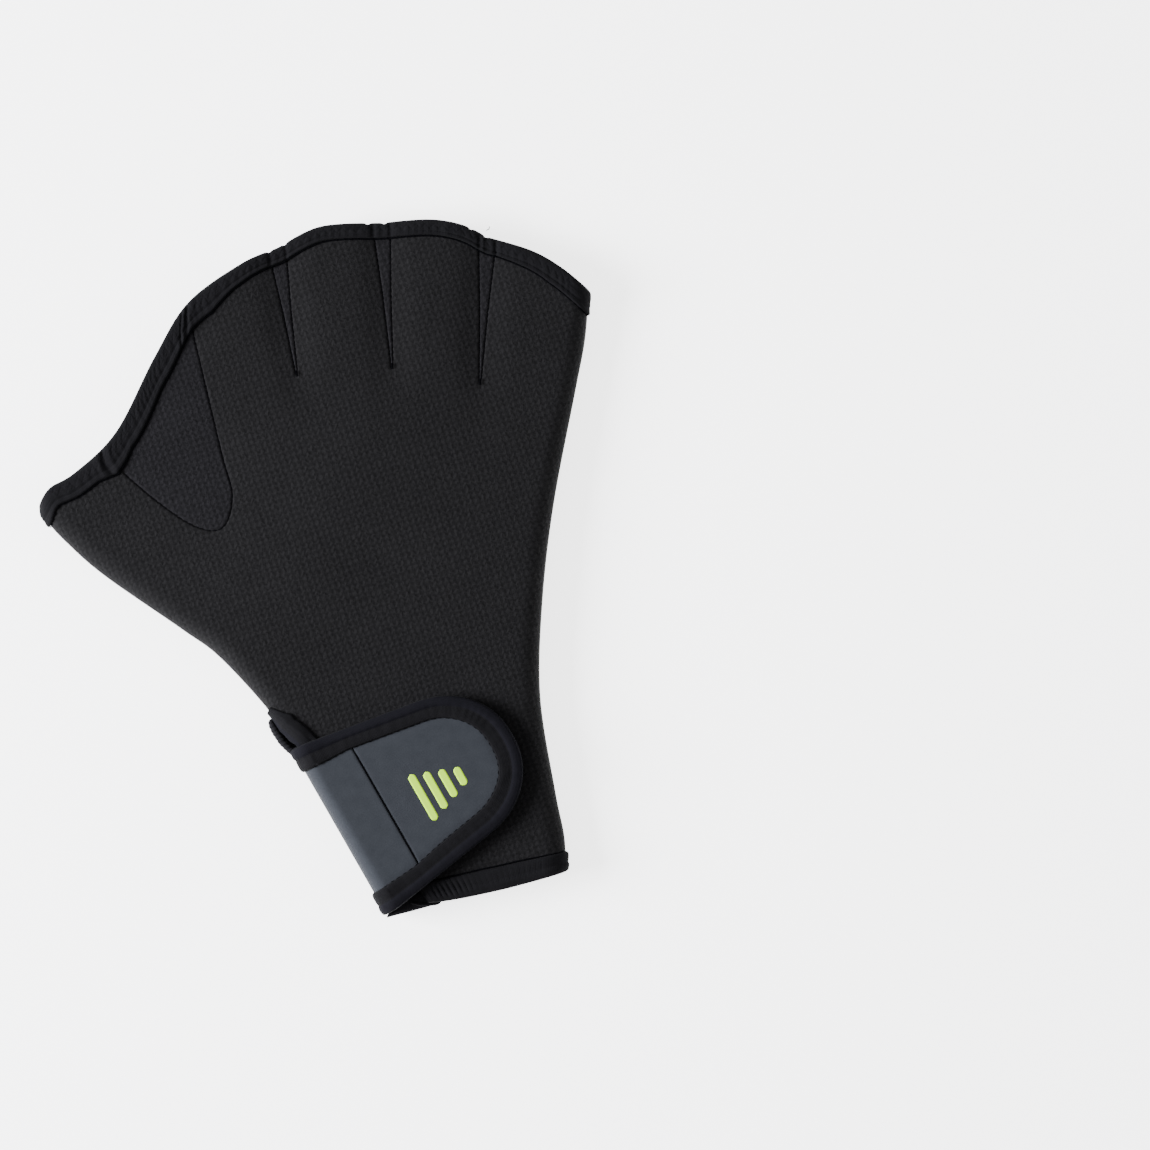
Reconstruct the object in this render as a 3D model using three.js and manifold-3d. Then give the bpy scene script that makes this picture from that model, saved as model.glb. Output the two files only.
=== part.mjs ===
// Webbed swim glove for the right hand, lying on its palm
// Millimetres, +Z up, +Y towards the fingertips, thumb on the -X side
import * as THREE from "three";
import { mergeVertices } from "three/addons/utils/BufferGeometryUtils.js";
import Module from "manifold-3d";

const wasm = await Module();
wasm.setup();

// Body of the glove
const gloveWidth = 191;
const gloveLength = 223;
const gloveHeight = 12;
const crownHeight = 1.2;
const neoprene = 1.8;
const edgeRoll = 7;
const seamGap = 0.3;

// Tapes sewn over the cut edges
const tape = 0.7;
const lipTapeWidth = 5;
const wristTapeWidth = 6;
const slitTapeWidth = 4.6;
const strapTapeWidth = 6.6;
const tapeCorner = 0.35;

// Wrist slit in the back, on the thumb side
const slitRise = 13.5;
const slitTop = 5.6;
const slitBottom = 16.5;
const slitTurn = 7;
const slitRun = 3;

// Strap from the palm round the thumb-side edge, and its tab
const strapPlace = 24.5;
const strapWidth = 62.4;
const strapTaper = 0.16;
const strapReach = 64.5;
const strapThickness = 1.6;
const strapFold = 5;
const strapRoot = 8;
const notchSlope = 0.3;
const notchRun = 1;
const strapSeam = 17.5;
const noseLength = 22.5;
const nosePower = 2.3;

// Hidden hook patch under the tab
const hookLength = 24;
const hookWidth = 22;
const hookSetBack = 13;

// Webs between the fingers, and the valleys over them
const webWidth = 5.6;
const webWall = 1.8;
const webTip = 0.6;
const valleyDepth = 0.6;
const valleyWidth = 6;

// Crown of the back: middle and spread, as shares of the glove's width and length
const crown = { x: 0.03, y: 0.5, spreadX: 0.3, spreadY: 0.27 };

const tapeStack = tape + seamGap;
const seamHeight = gloveHeight / 2;
const strapUnder = 2 * tapeStack + seamGap;

// Outline tables: x as a share of the width from the middle, y as a share of the length from the wrist
const lipStretches = [
  // thumb tip, thumb web and forefinger
  [[-0.499, 0.718], [-0.472, 0.735], [-0.425, 0.745], [-0.342, 0.786],
    [-0.249, 0.874], [-0.169, 0.939], [-0.064, 0.976], [0.003, 0.9855]],
  // middle finger
  [[0.003, 0.9855], [0.084, 0.999], [0.186, 0.9815]],
  // ring finger
  [[0.186, 0.9815], [0.266, 0.968], [0.318, 0.948], [0.355, 0.921]],
  // little finger
  [[0.355, 0.921], [0.42, 0.886], [0.461, 0.852], [0.498, 0.809]],
];
const wristOutline = [[-0.119, 0.034], [-0.032, 0.0115], [0.083, 0.0036], [0.204, 0.0036]];
const thumbSide = [
  [-0.119, 0.034], [-0.14, 0.108], [-0.166, 0.197], [-0.1885, 0.269], [-0.2105, 0.336],
  [-0.269, 0.433], [-0.319, 0.487], [-0.422, 0.591], [-0.47, 0.652], [-0.495, 0.694], [-0.499, 0.718],
];
const littleSide = [
  [0.204, 0.0036], [0.216, 0.054], [0.221, 0.121], [0.238, 0.259], [0.283, 0.391],
  [0.3445, 0.524], [0.43, 0.675], [0.4685, 0.744], [0.498, 0.809],
];
const thumbWebSeam = [
  [-0.1675, 0.951], [-0.171, 0.843], [-0.175, 0.7175], [-0.176, 0.655], [-0.205, 0.614],
  [-0.249, 0.6255], [-0.302, 0.676], [-0.353, 0.74], [-0.387, 0.789],
];

// Finger webs: the lip corner where each starts, its lean in degrees, its length as a share of the glove's
const fingerWebs = [
  { corner: 0, lean: 6, length: 0.18 },
  { corner: 1, lean: 10.6, length: 0.204 },
  { corner: 2, lean: 18, length: 0.206 },
];
// How a web narrows: share of its length, share of its width
const webNarrowing = [[0, 1], [0.2, 0.78], [0.5, 0.4], [1, 0]];

const finishes = {
  neoprene: { color: 0x242325, roughness: 0.9 },
  web: { color: 0x1e1d20, roughness: 0.9 },
  tape: { color: 0x16171a, roughness: 0.75 },
  jersey: { color: 0x4b4f56, roughness: 0.85 },
  hook: { color: 0x1a1a1c, roughness: 0.8 },
};

// Steps along curves
const splineSteps = 12;
const lengthSteps = 24;
const seamSteps = 26;
const hollowSteps = 24;
const strapSteps = 8;
const hookSteps = 4;

// Turns shares of the glove's width and length into a point
function place([x, y]) {
  return new THREE.Vector2(x * gloveWidth, y * gloveLength);
}

// Path through smooth stretches that meet at corners, asked for by the share of its length
function makePath(stretches) {
  const points = [];
  const cornerPoints = [];
  for (const stretch of stretches) {
    const curve = new THREE.SplineCurve(stretch);
    const steps = splineSteps * (stretch.length - 1);
    for (let i = points.length ? 1 : 0; i <= steps; i++) points.push(curve.getPoint(i / steps));
    cornerPoints.push(points.length - 1);
  }
  const lengths = [0];
  for (let i = 1; i < points.length; i++) {
    lengths.push(lengths[i - 1] + points[i].distanceTo(points[i - 1]));
  }
  const total = lengths.at(-1);
  function at(share) {
    const wanted = Math.min(Math.max(share, 0), 1) * total;
    let i = 1;
    while (i < points.length - 1 && lengths[i] < wanted) i++;
    const part = (wanted - lengths[i - 1]) / (lengths[i] - lengths[i - 1]);
    return points[i - 1].clone().lerp(points[i], part);
  }
  const corners = cornerPoints.slice(0, -1).map((i) => lengths[i] / total);
  return { at, corners, total };
}

// Point of a path moved to its right by a depth, with the direction taken over a short stretch of it
function beside(path, share, depth) {
  const stretch = 0.012;
  const ahead = path.at(share + stretch).sub(path.at(share - stretch)).normalize();
  return path.at(share).add(new THREE.Vector2(ahead.y, -ahead.x).multiplyScalar(depth));
}

const lipOutline = makePath(lipStretches.map((stretch) => stretch.map(place)));
const wristLine = makePath([wristOutline.map(place)]);
const lipEdge = (u) => beside(lipOutline, u, tapeStack);
const wristEdge = (u) => beside(wristLine, u, -tapeStack);
const corner = {
  wristThumb: wristEdge(0),
  wristLittle: wristEdge(1),
  lipThumb: lipEdge(0),
  lipLittle: lipEdge(1),
};

// A side edge keeps its outline and ends on the panel's own corners
function sideEdge(table, start, end) {
  return makePath([[start, ...table.slice(1, -1).map(place), end]]);
}
const thumbEdge = sideEdge(thumbSide, corner.wristThumb, corner.lipThumb);
const littleEdge = sideEdge(littleSide, corner.wristLittle, corner.lipLittle);

// Plan of the glove: u runs from the thumb side to the little finger, v from the wrist to the lip
function plan(u, v) {
  const wrist = wristEdge(u).multiplyScalar(1 - v);
  const lip = lipEdge(u).multiplyScalar(v);
  const thumb = thumbEdge.at(v).multiplyScalar(1 - u);
  const little = littleEdge.at(v).multiplyScalar(u);
  const sum = wrist.add(lip).add(thumb).add(little);
  sum.addScaledVector(corner.wristThumb, -(1 - u) * (1 - v));
  sum.addScaledVector(corner.wristLittle, -u * (1 - v));
  sum.addScaledVector(corner.lipThumb, -(1 - u) * v);
  sum.addScaledVector(corner.lipLittle, -u * v);
  return sum;
}

function rowLength(v) {
  let length = 0;
  for (let i = 1; i <= lengthSteps; i++) {
    length += plan(i / lengthSteps, v).distanceTo(plan((i - 1) / lengthSteps, v));
  }
  return length;
}

function smooth(low, high, value) {
  const t = Math.min(Math.max((value - low) / (high - low), 0), 1);
  return t * t * (3 - 2 * t);
}

// Axis of each finger web, from its lip corner towards the wrist
const webAxes = fingerWebs.map((web) => {
  const start = lipEdge(lipOutline.corners[web.corner]);
  const turn = THREE.MathUtils.degToRad(web.lean);
  const direction = new THREE.Vector2(-Math.sin(turn), -Math.cos(turn));
  const side = new THREE.Vector2(-direction.y, direction.x);
  const length = web.length * gloveLength;
  const at = (along, across) => start.clone()
    .addScaledVector(direction, along)
    .addScaledVector(side, across);
  return { start, direction, side, length, at };
});

// Upper surface of the back: a low crown over the palm and a shallow valley along each finger web
const valleyFade = { from: 0.6, to: 1.5 };
function backTop(point) {
  const dx = (point.x / gloveWidth - crown.x) / crown.spreadX;
  const dy = (point.y / gloveLength - crown.y) / crown.spreadY;
  let height = gloveHeight + crownHeight * Math.exp(-dx * dx - dy * dy);
  for (const axis of webAxes) {
    const from = point.clone().sub(axis.start);
    const along = from.dot(axis.direction) / axis.length;
    const across = from.dot(axis.side) / valleyWidth;
    const depth = valleyDepth * (1 - smooth(valleyFade.from, valleyFade.to, along));
    height -= depth * Math.exp(-across * across);
  }
  return height;
}

// Rows that the legs of the hem's tape and of the lip's tape reach to
const edgeLength = thumbEdge.total;
const hemRow = (wristTapeWidth - tapeStack) / edgeLength;
const lipRow = 1 - (lipTapeWidth - tapeStack) / edgeLength;
const liftRun = 0.045;

// Underside of the palm: flat on the ground, lifted at the lip and the wrist by the tape under it
function palmBottom(v) {
  return tapeStack * (1 - smooth(hemRow, hemRow + liftRun, v) + smooth(lipRow - liftRun, lipRow, v));
}

// Rise of a rolled side edge, 0 at the seam and 1 where the panel is flat
function roll(distance) {
  const left = 1 - Math.min(distance / edgeRoll, 1);
  return Math.sqrt(1 - left * left);
}

// Frame of the strap: b runs along the fold towards the fingers, a across the back from the fold
const strapUpper = strapPlace + strapWidth / 2 + seamGap;
const foldLow = thumbEdge.at(0);
const foldUp = thumbEdge.at(strapUpper / edgeLength).sub(foldLow).normalize();
const foldIn = new THREE.Vector2(foldUp.y, -foldUp.x);
const foldMiddle = foldLow.clone().addScaledVector(foldUp, strapPlace);

function onStrap(a, b) {
  return foldMiddle.clone().addScaledVector(foldIn, a).addScaledVector(foldUp, b);
}

// Distance in from the thumb side at which a row passes a line across the strap's frame
function crossing(v, direction, target) {
  const span = 2 * strapRoot;
  const length = rowLength(v);
  const near = plan(0, v).sub(foldMiddle).dot(direction);
  const far = plan(span / length, v).sub(foldMiddle).dot(direction);
  return (span * (target - near)) / (far - near);
}

// Where the panels start on the thumb side, in from the edge, for the slit and for the strap's root
const slitEnd = (strapUpper + slitRise) / edgeLength;
const slitStraight = (strapUpper + slitRise - slitTurn) / edgeLength;
const notchEnd = (strapUpper + seamGap + strapRoot * notchSlope) / edgeLength;
const notchStep = notchRun / edgeLength;

function slitStart(v) {
  if (v >= slitEnd) return 0;
  if (v > slitStraight) {
    const part = (v - slitStraight) / (slitEnd - slitStraight);
    return slitTop * Math.sqrt(1 - part * part);
  }
  return slitTop + (slitBottom - slitTop) * (1 - v / slitStraight);
}

function notchStart(v) {
  return crossing(v, foldIn, strapRoot + seamGap) * (1 - smooth(notchEnd, notchEnd + notchStep, v));
}

// Columns of a row: quarter turns at both edges, and between them even steps along each lobe of the lip
const edgeTurns = [0, 1 / 3, 2 / 3, 1];
const lobeSteps = [14, 5, 5, 5];
function innerColumns() {
  const marks = [0, ...lipOutline.corners, 1];
  const shares = [];
  lobeSteps.forEach((steps, lobe) => {
    const span = marks[lobe + 1] - marks[lobe];
    for (let i = 0; i < steps; i++) shares.push(marks[lobe] + span * (i / steps));
  });
  return shares.slice(1);
}
const middleColumns = innerColumns();

// Outer and inner point of a panel at a distance in from the thumb side
function panelPair(v, s, isBack, length = rowLength(v)) {
  const base = seamHeight + (isBack ? seamGap / 2 : -seamGap / 2);
  const fromEdge = Math.min(s, length - s);
  const wall = neoprene * (1 - Math.min(fromEdge / edgeRoll, 1)) * (s < length / 2 ? 1 : -1);
  const outside = plan(s / length, v);
  const inside = plan((s + wall) / length, v);
  const top = isBack ? backTop(outside) : palmBottom(v);
  const under = isBack ? backTop(inside) - neoprene : palmBottom(v) + neoprene;
  const rise = roll(fromEdge);
  return {
    outer: new THREE.Vector3(outside.x, outside.y, base + (top - base) * rise),
    inner: new THREE.Vector3(inside.x, inside.y, base + (under - base) * rise),
  };
}

// One row of a panel as a list of outer and inner points
function panelRow(v, start, isBack) {
  const length = rowLength(v);
  const first = start(v);
  const flat = Math.max(edgeRoll, first + slitRun);
  const quarter = (turn) => 1 - Math.cos((turn * Math.PI) / 2);
  const places = edgeTurns.map((turn) => first + (flat - first) * quarter(turn));
  const lipStart = edgeRoll / lipOutline.total;
  const least = 0.01;
  for (const share of middleColumns) {
    const part = (share - lipStart) / (1 - 2 * lipStart);
    if (part > least && part < 1 - least) places.push(flat + (length - edgeRoll - flat) * part);
  }
  for (const turn of [...edgeTurns].reverse()) places.push(length - edgeRoll * quarter(turn));
  return places.map((s) => panelPair(v, s, isBack, length));
}

// Closed body through stations that are each a list of outer and inner points
function skin(stations, closed = false) {
  const rings = stations.map((pairs) => [
    ...pairs.map(({ outer }) => outer),
    ...pairs.map(({ inner }) => inner).reverse(),
  ]);
  const size = rings[0].length;
  const positions = rings.flat().flatMap((point) => [point.x, point.y, point.z]);
  const faces = [];
  const quad = (a, b, c, d) => faces.push(a, b, c, a, c, d);
  const steps = closed ? rings.length : rings.length - 1;
  for (let i = 0; i < steps; i++) {
    const next = (i + 1) % rings.length;
    for (let j = 0; j < size; j++) {
      const k = (j + 1) % size;
      quad(i * size + j, i * size + k, next * size + k, next * size + j);
    }
  }
  if (!closed) {
    const last = (rings.length - 1) * size;
    for (let j = 0; j < size / 2 - 1; j++) {
      const far = size - 1 - j;
      quad(j, far, far - 1, j + 1);
      quad(last + j, last + j + 1, last + far - 1, last + far);
    }
  }
  const geometry = new THREE.BufferGeometry();
  geometry.setAttribute("position", new THREE.Float32BufferAttribute(positions, 3));
  geometry.setIndex(faces);
  return facingOut(geometry);
}

// Turns every face round when the body's volume comes out negative
function facingOut(geometry) {
  const position = geometry.getAttribute("position");
  const index = [...geometry.getIndex().array];
  const corners = [new THREE.Vector3(), new THREE.Vector3(), new THREE.Vector3()];
  let volume = 0;
  for (let i = 0; i < index.length; i += 3) {
    corners.forEach((point, j) => point.fromBufferAttribute(position, index[i + j]));
    volume += corners[0].dot(corners[1].clone().cross(corners[2]));
  }
  if (volume < 0) {
    for (let i = 0; i < index.length; i += 3) [index[i + 1], index[i + 2]] = [index[i + 2], index[i + 1]];
    geometry.setIndex(index);
  }
  return geometry;
}

function toSolid(geometry) {
  const vertProperties = Float32Array.from(geometry.getAttribute("position").array);
  const triVerts = Uint32Array.from(geometry.getIndex().array);
  return new wasm.Manifold(new wasm.Mesh({ numProp: 3, vertProperties, triVerts }));
}

function toGeometry(solid) {
  const mesh = solid.getMesh();
  const geometry = new THREE.BufferGeometry();
  geometry.setAttribute("position", new THREE.Float32BufferAttribute(mesh.vertProperties, 3));
  geometry.setIndex([...mesh.triVerts]);
  return geometry;
}

// Upright prism over a plan outline, tall enough to pass through the whole glove
function prism(points) {
  const depth = gloveHeight * 4;
  const geometry = new THREE.ExtrudeGeometry(new THREE.Shape(points), { depth, bevelEnabled: false });
  geometry.translate(0, 0, -depth / 4);
  geometry.deleteAttribute("normal");
  geometry.deleteAttribute("uv");
  return toSolid(facingOut(mergeVertices(geometry, 1e-4)));
}

// Middle of a pair, and the way its row runs there
function middle(pair) {
  return pair.outer.clone().add(pair.inner).multiplyScalar(0.5);
}
function rowWay(pairs, i, closed) {
  const count = pairs.length;
  const before = closed ? (i + count - 1) % count : Math.max(i - 1, 0);
  const after = closed ? (i + 1) % count : Math.min(i + 1, count - 1);
  const back = middle(pairs[i]).sub(middle(pairs[before])).normalize();
  const ahead = middle(pairs[after]).sub(middle(pairs[i])).normalize();
  return back.add(ahead).normalize();
}

// Tape folded over an edge, through rows of pairs: the edge's own row first, then rows farther in
function tapeOver(rows, closed = false) {
  const stations = rows[0].map((edge, i) => {
    const reaches = rows.map((pairs, k) => {
      const step = Math.max(k, 1);
      const out = middle(rows[step - 1][i]).sub(middle(rows[step][i])).normalize();
      const up = rowWay(pairs, i, closed).cross(out).normalize();
      up.multiplyScalar(Math.sign(up.dot(pairs[i].outer.clone().sub(pairs[i].inner))));
      return { pair: pairs[i], out, up };
    });
    const { out, up } = reaches[0];
    const legs = reaches.slice(1);
    const at = (point, rise, reach) => point.clone().addScaledVector(up, rise).addScaledVector(out, reach);
    const raised = (point, leg, rise) => point.clone().addScaledVector(leg.up, rise);
    const section = (rise, cut) => [
      ...[...legs].reverse().map((leg) => raised(leg.pair.outer, leg, rise)),
      at(edge.outer, rise, rise - cut),
      at(edge.outer, rise - cut, rise),
      at(edge.inner, cut - rise, rise),
      at(edge.inner, -rise, rise - cut),
      ...legs.map((leg) => raised(leg.pair.inner, leg, -rise)),
    ];
    const inside = section(seamGap, tapeCorner / 2);
    return section(tapeStack, tapeCorner).map((outer, j) => ({ outer, inner: inside[j] }));
  });
  return skin(stations, closed);
}

// Rows of the panels, from wrist to lip, with extra ones at the tapes and where slit and notch turn
const slitFoot = hemRow + (tapeStack + seamGap) / edgeLength;
const liftRows = [hemRow, hemRow + liftRun, lipRow - liftRun, lipRow];
const evenRows = [0, ...liftRows, 0.14, 0.21, 0.5, 0.56, 0.62, 0.68, 0.74, 0.8, 0.86, 1];
const slitTurns = [0, 0.4, 0.7, 0.88, 0.97, 1]
  .map((part) => slitStraight + (slitEnd - slitStraight) * part);
const notchTurns = [notchEnd, notchEnd + notchStep / 2, notchEnd + notchStep];
const middleRow = 0.425;
const rising = (a, b) => a - b;
const backRows = [...evenRows, slitFoot, ...slitTurns, middleRow].sort(rising);
const palmRows = [...evenRows, ...notchTurns, middleRow].sort(rising);

const backWhole = toSolid(skin(backRows.map((v) => panelRow(v, slitStart, true))));
const palmPanel = skin(palmRows.map((v) => panelRow(v, notchStart, false)));

// Plan of a finger web's wedge, wider by a clearance where it is the cut for it
function wedgeOutline(axis, clearance) {
  const before = -lipTapeWidth;
  const right = [axis.at(before, webWidth / 2 + clearance)];
  const left = [axis.at(before, -webWidth / 2 - clearance)];
  for (const [along, width] of webNarrowing) {
    const half = (webTip + (webWidth - webTip) * width) / 2 + clearance;
    const reach = along * axis.length + (along === 1 ? clearance : 0);
    right.push(axis.at(reach, half));
    left.push(axis.at(reach, -half));
  }
  return [...right, ...left.reverse()];
}

// Plan of the wall under a wedge, clear of the lip's tape and ending just short of the wedge's tip
const wallShare = 0.92;
function wallOutline(axis) {
  const near = 1.25 * lipTapeWidth + seamGap;
  const far = axis.length * wallShare;
  const half = webWall / 2;
  return [axis.at(near, -half), axis.at(far, -half), axis.at(far, half), axis.at(near, half)];
}

// Solid between the palm and the back under the fingers, its top a drop below the back's surface
const fingerColumns = { from: 0.3, to: 0.95 };
const fingerRows = [0.45, 0.55, 0.65, 0.75, 0.85, 0.93, 0.965, 1];
function hollow(drop) {
  const stations = fingerRows.map((v) => {
    const pairs = [];
    for (let i = 0; i <= hollowSteps; i++) {
      const share = i / hollowSteps;
      const point = plan(fingerColumns.from * (1 - share) + fingerColumns.to * share, v);
      const outer = new THREE.Vector3(point.x, point.y, backTop(point) - drop);
      const inner = new THREE.Vector3(point.x, point.y, palmBottom(v) + neoprene + seamGap);
      pairs.push({ outer, inner });
    }
    return pairs;
  });
  return toSolid(skin(stations));
}

// Each finger web is a wedge in the back with a wall under it that parts two finger channels
const hollowClear = hollow(neoprene + seamGap);
const hollowJoined = hollow(neoprene / 2);
const webSolids = webAxes.map((axis) => {
  const wedge = prism(wedgeOutline(axis, 0));
  const wall = prism(wallOutline(axis));
  return wedge.intersect(backWhole)
    .add(wall.intersect(hollowClear))
    .add(wall.intersect(wedge).intersect(hollowJoined));
});

// The thumb web is cut from the back along its seam, and closed by two places outside the lip
const seamPath = makePath([thumbWebSeam.map(place)]);
const pastLip = [[-0.5, 1.1], [-0.16, 1.1]];
function thumbWebOutline(clearance) {
  const points = [];
  for (let i = 0; i <= seamSteps; i++) points.push(beside(seamPath, i / seamSteps, clearance));
  return [...points, ...pastLip.map(place)];
}
const thumbWebSolid = prism(thumbWebOutline(seamGap)).intersect(backWhole);

let backSolid = backWhole.subtract(prism(thumbWebOutline(0)));
for (const axis of webAxes) backSolid = backSolid.subtract(prism(wedgeOutline(axis, seamGap)));

// Rows round an opening: along the back and home along the palm, thinned out between the rolled edges
function roundOpening(v, step) {
  const kept = edgeTurns.length;
  const thin = (pairs) => pairs.filter((pair, i) => (
    i < kept || i >= pairs.length - kept || i % step === 0
  ));
  return [thin(panelRow(v, slitStart, true)), thin(panelRow(v, notchStart, false)).reverse()];
}

// Tape round the whole mouth of the fingers and thumb
const mouth = (v) => {
  const [back, palm] = roundOpening(v, 1);
  return [...back, ...palm.slice(1, -1)];
};
const lipBinding = tapeOver([mouth(1), mouth(lipRow)], true);

// Tape round the wrist hem, from the slit over the back, round the little-finger side and along the palm
const hem = (v) => {
  const [back, palm] = roundOpening(v, 3);
  return [...back, ...palm.slice(1, -2)];
};
const wristBinding = tapeOver([hem(0), hem(hemRow)]);

// Tape on the slit's edge of the back, from the side seam down to the hem's tape
const slitPlaces = backRows.filter((v) => v >= slitFoot && v < slitEnd);
const slitPath = slitPlaces.map((v) => new THREE.Vector2(slitStart(v), v * edgeLength));
const slitRow = (share) => slitPath.map((point, i) => {
  const ahead = slitPath[Math.min(i + 1, slitPath.length - 1)];
  const along = ahead.clone().sub(slitPath[Math.max(i - 1, 0)]).normalize();
  const inward = new THREE.Vector2(along.y, -along.x);
  const reached = point.clone().addScaledVector(inward, share * (slitTapeWidth - tapeStack));
  return panelPair(reached.y / edgeLength, reached.x, true);
});
const slitBinding = tapeOver([0, 1 / 3, 2 / 3, 1].map(slitRow));

// Half the width of the strap's own cloth at a distance from the fold
function strapHalf(a) {
  const straight = strapWidth / 2 - tapeStack - strapTaper * Math.max(a, 0);
  const nose = (a - (strapReach - noseLength)) / (noseLength - tapeStack);
  if (nose <= 0) return straight;
  return straight * Math.pow(1 - Math.pow(Math.min(nose, 1), nosePower), 1 / nosePower);
}

// A point of the strap by its stretch: under the palm, round the fold by an angle, or over the back
function strapPoint(stretch, at, b, depth) {
  const top = (point) => backTop(point) + strapUnder + strapThickness;
  if (stretch === "fold") {
    const high = top(onStrap(strapFold, b));
    const point = onStrap(strapFold - (strapFold - depth) * Math.sin(at), b);
    const rise = (high - tapeStack) / 2 - depth;
    return new THREE.Vector3(point.x, point.y, (high + tapeStack) / 2 - rise * Math.cos(at));
  }
  const point = onStrap(at, b);
  const height = stretch === "palm" ? tapeStack + depth : top(point) - depth;
  return new THREE.Vector3(point.x, point.y, height);
}

function strapPair([stretch, at, b]) {
  return { outer: strapPoint(stretch, at, b, 0), inner: strapPoint(stretch, at, b, strapThickness) };
}

function strapStation([stretch, at]) {
  const half = strapHalf(stretch === "fold" ? 0 : at);
  const pairs = [];
  for (let i = 0; i <= strapSteps; i++) {
    pairs.push(strapPair([stretch, at, half * ((2 * i) / strapSteps - 1)]));
  }
  return pairs;
}

// Places of the strap's stations: the root under the palm, the fold, the band, the tab and its nose
const noseStart = strapReach - noseLength;
const foldTurns = [1, 2, 3, 4, 5, 6, 7].map((step) => (step * Math.PI) / 8);
const bandEnds = [strapSeam - seamGap / 2, strapSeam + seamGap / 2];
const noseTurns = [0.15, 0.35, 0.55, 0.72, 0.85, 0.94, 0.985];
const bandPlaces = [
  ["palm", strapRoot], ["palm", strapFold],
  ...foldTurns.map((turn) => ["fold", turn]),
  ["back", strapFold], ["back", (strapFold + bandEnds[0]) / 2], ["back", bandEnds[0]],
];
const tabPlaces = [
  ...[0, 1 / 3, 2 / 3, 1].map((part) => ["back", bandEnds[1] + (noseStart - bandEnds[1]) * part]),
  ...noseTurns.map((part) => ["back", noseStart + (noseLength - tapeStack) * part]),
];
const strapBand = skin(bandPlaces.map(strapStation));
const strapTab = skin(tabPlaces.map(strapStation));

// Tape round the strap, from the palm along one long edge, round the tab's nose and back
const rimPlaces = [...bandPlaces.slice(0, -1), ...tabPlaces];
const rimSide = (side) => rimPlaces.map(([stretch, at]) => {
  const half = strapHalf(stretch === "fold" ? 0 : at);
  return [stretch, at, side * half];
});
const [noseStretch, noseAt, noseHalf] = rimSide(1).at(-1);
const noseAcross = [0.4, -0.4].map((share) => [noseStretch, noseAt, noseHalf * share]);
const rim = [...rimSide(1), ...noseAcross, ...rimSide(-1).reverse()];
const rimFar = rim.map(([stretch, at, b], i) => {
  const width = strapTapeWidth - tapeStack;
  if (stretch !== "back") return [stretch, at, b - Math.sign(b) * width];
  const flat = ([kind, place, across]) => new THREE.Vector2(kind === "back" ? place : strapFold, across);
  const along = flat(rim[i + 1]).sub(flat(rim[i - 1])).normalize();
  return [stretch, Math.max(at + along.y * width, strapFold), b - along.x * width];
});
const strapBinding = tapeOver([rim.map(strapPair), rimFar.map(strapPair)]);

// Hook patch between the tab and the back
function hookStation(a) {
  const pairs = [];
  for (let i = 0; i <= hookSteps; i++) {
    const point = onStrap(a, hookWidth * (i / hookSteps - 0.5));
    const under = backTop(point) + seamGap;
    const inner = new THREE.Vector3(point.x, point.y, under);
    const outer = new THREE.Vector3(point.x, point.y, under + strapUnder - 2 * seamGap);
    pairs.push({ outer, inner });
  }
  return pairs;
}
const hookEnd = strapReach - hookSetBack;
const hookPlaces = [0, 0.25, 0.5, 0.75, 1].map((part) => hookEnd - hookLength * (1 - part));
const hookPatch = skin(hookPlaces.map(hookStation));

// Names, shapes and finishes of the pieces
const pieces = [
  ["back_panel", toGeometry(backSolid), finishes.neoprene],
  ["palm_panel", palmPanel, finishes.neoprene],
  ["thumb_web", toGeometry(thumbWebSolid), finishes.web],
  ...webSolids.map((solid, i) => [`finger_web_${i + 1}`, toGeometry(solid), finishes.web]),
  ["lip_binding", lipBinding, finishes.tape],
  ["wrist_binding", wristBinding, finishes.tape],
  ["slit_binding", slitBinding, finishes.tape],
  ["strap_band", strapBand, finishes.jersey],
  ["strap_tab", strapTab, finishes.jersey],
  ["strap_binding", strapBinding, finishes.tape],
  ["hook_patch", hookPatch, finishes.hook],
];

const glove = new THREE.Group();
for (const [name, geometry, finish] of pieces) {
  const mesh = new THREE.Mesh(geometry, new THREE.MeshStandardMaterial({ ...finish, metalness: 0 }));
  mesh.name = name;
  glove.add(mesh);
}

// The glove stands with the middle of its outline over the origin and its lowest point on the ground
const reach = new THREE.Box3().setFromObject(glove, true);
const centre = reach.getCenter(new THREE.Vector3());
glove.position.set(-centre.x, -centre.y, -reach.min.z);

const group = new THREE.Group();
group.add(glove);

export default group;
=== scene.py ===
"""Looks of a webbed swim glove for the right hand: neoprene panels, sewn tapes and a jersey strap"""

import math

import bpy
import numpy as np
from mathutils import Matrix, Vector
from mathutils.geometry import delaunay_2d_cdt


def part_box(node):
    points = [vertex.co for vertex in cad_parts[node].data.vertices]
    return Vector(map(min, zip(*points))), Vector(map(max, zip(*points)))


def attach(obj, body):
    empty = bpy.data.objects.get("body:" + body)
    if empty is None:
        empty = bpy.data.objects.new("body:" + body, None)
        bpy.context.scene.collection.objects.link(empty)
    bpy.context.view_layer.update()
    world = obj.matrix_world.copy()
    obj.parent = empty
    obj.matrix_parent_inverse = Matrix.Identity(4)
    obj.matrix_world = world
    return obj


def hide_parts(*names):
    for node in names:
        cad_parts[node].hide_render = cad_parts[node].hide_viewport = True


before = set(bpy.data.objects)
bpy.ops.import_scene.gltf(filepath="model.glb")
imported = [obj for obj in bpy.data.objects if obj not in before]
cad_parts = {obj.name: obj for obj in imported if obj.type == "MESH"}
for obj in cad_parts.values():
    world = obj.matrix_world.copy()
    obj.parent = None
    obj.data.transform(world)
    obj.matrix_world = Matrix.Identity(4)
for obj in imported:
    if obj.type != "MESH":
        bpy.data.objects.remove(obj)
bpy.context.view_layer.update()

MM = 0.001

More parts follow.
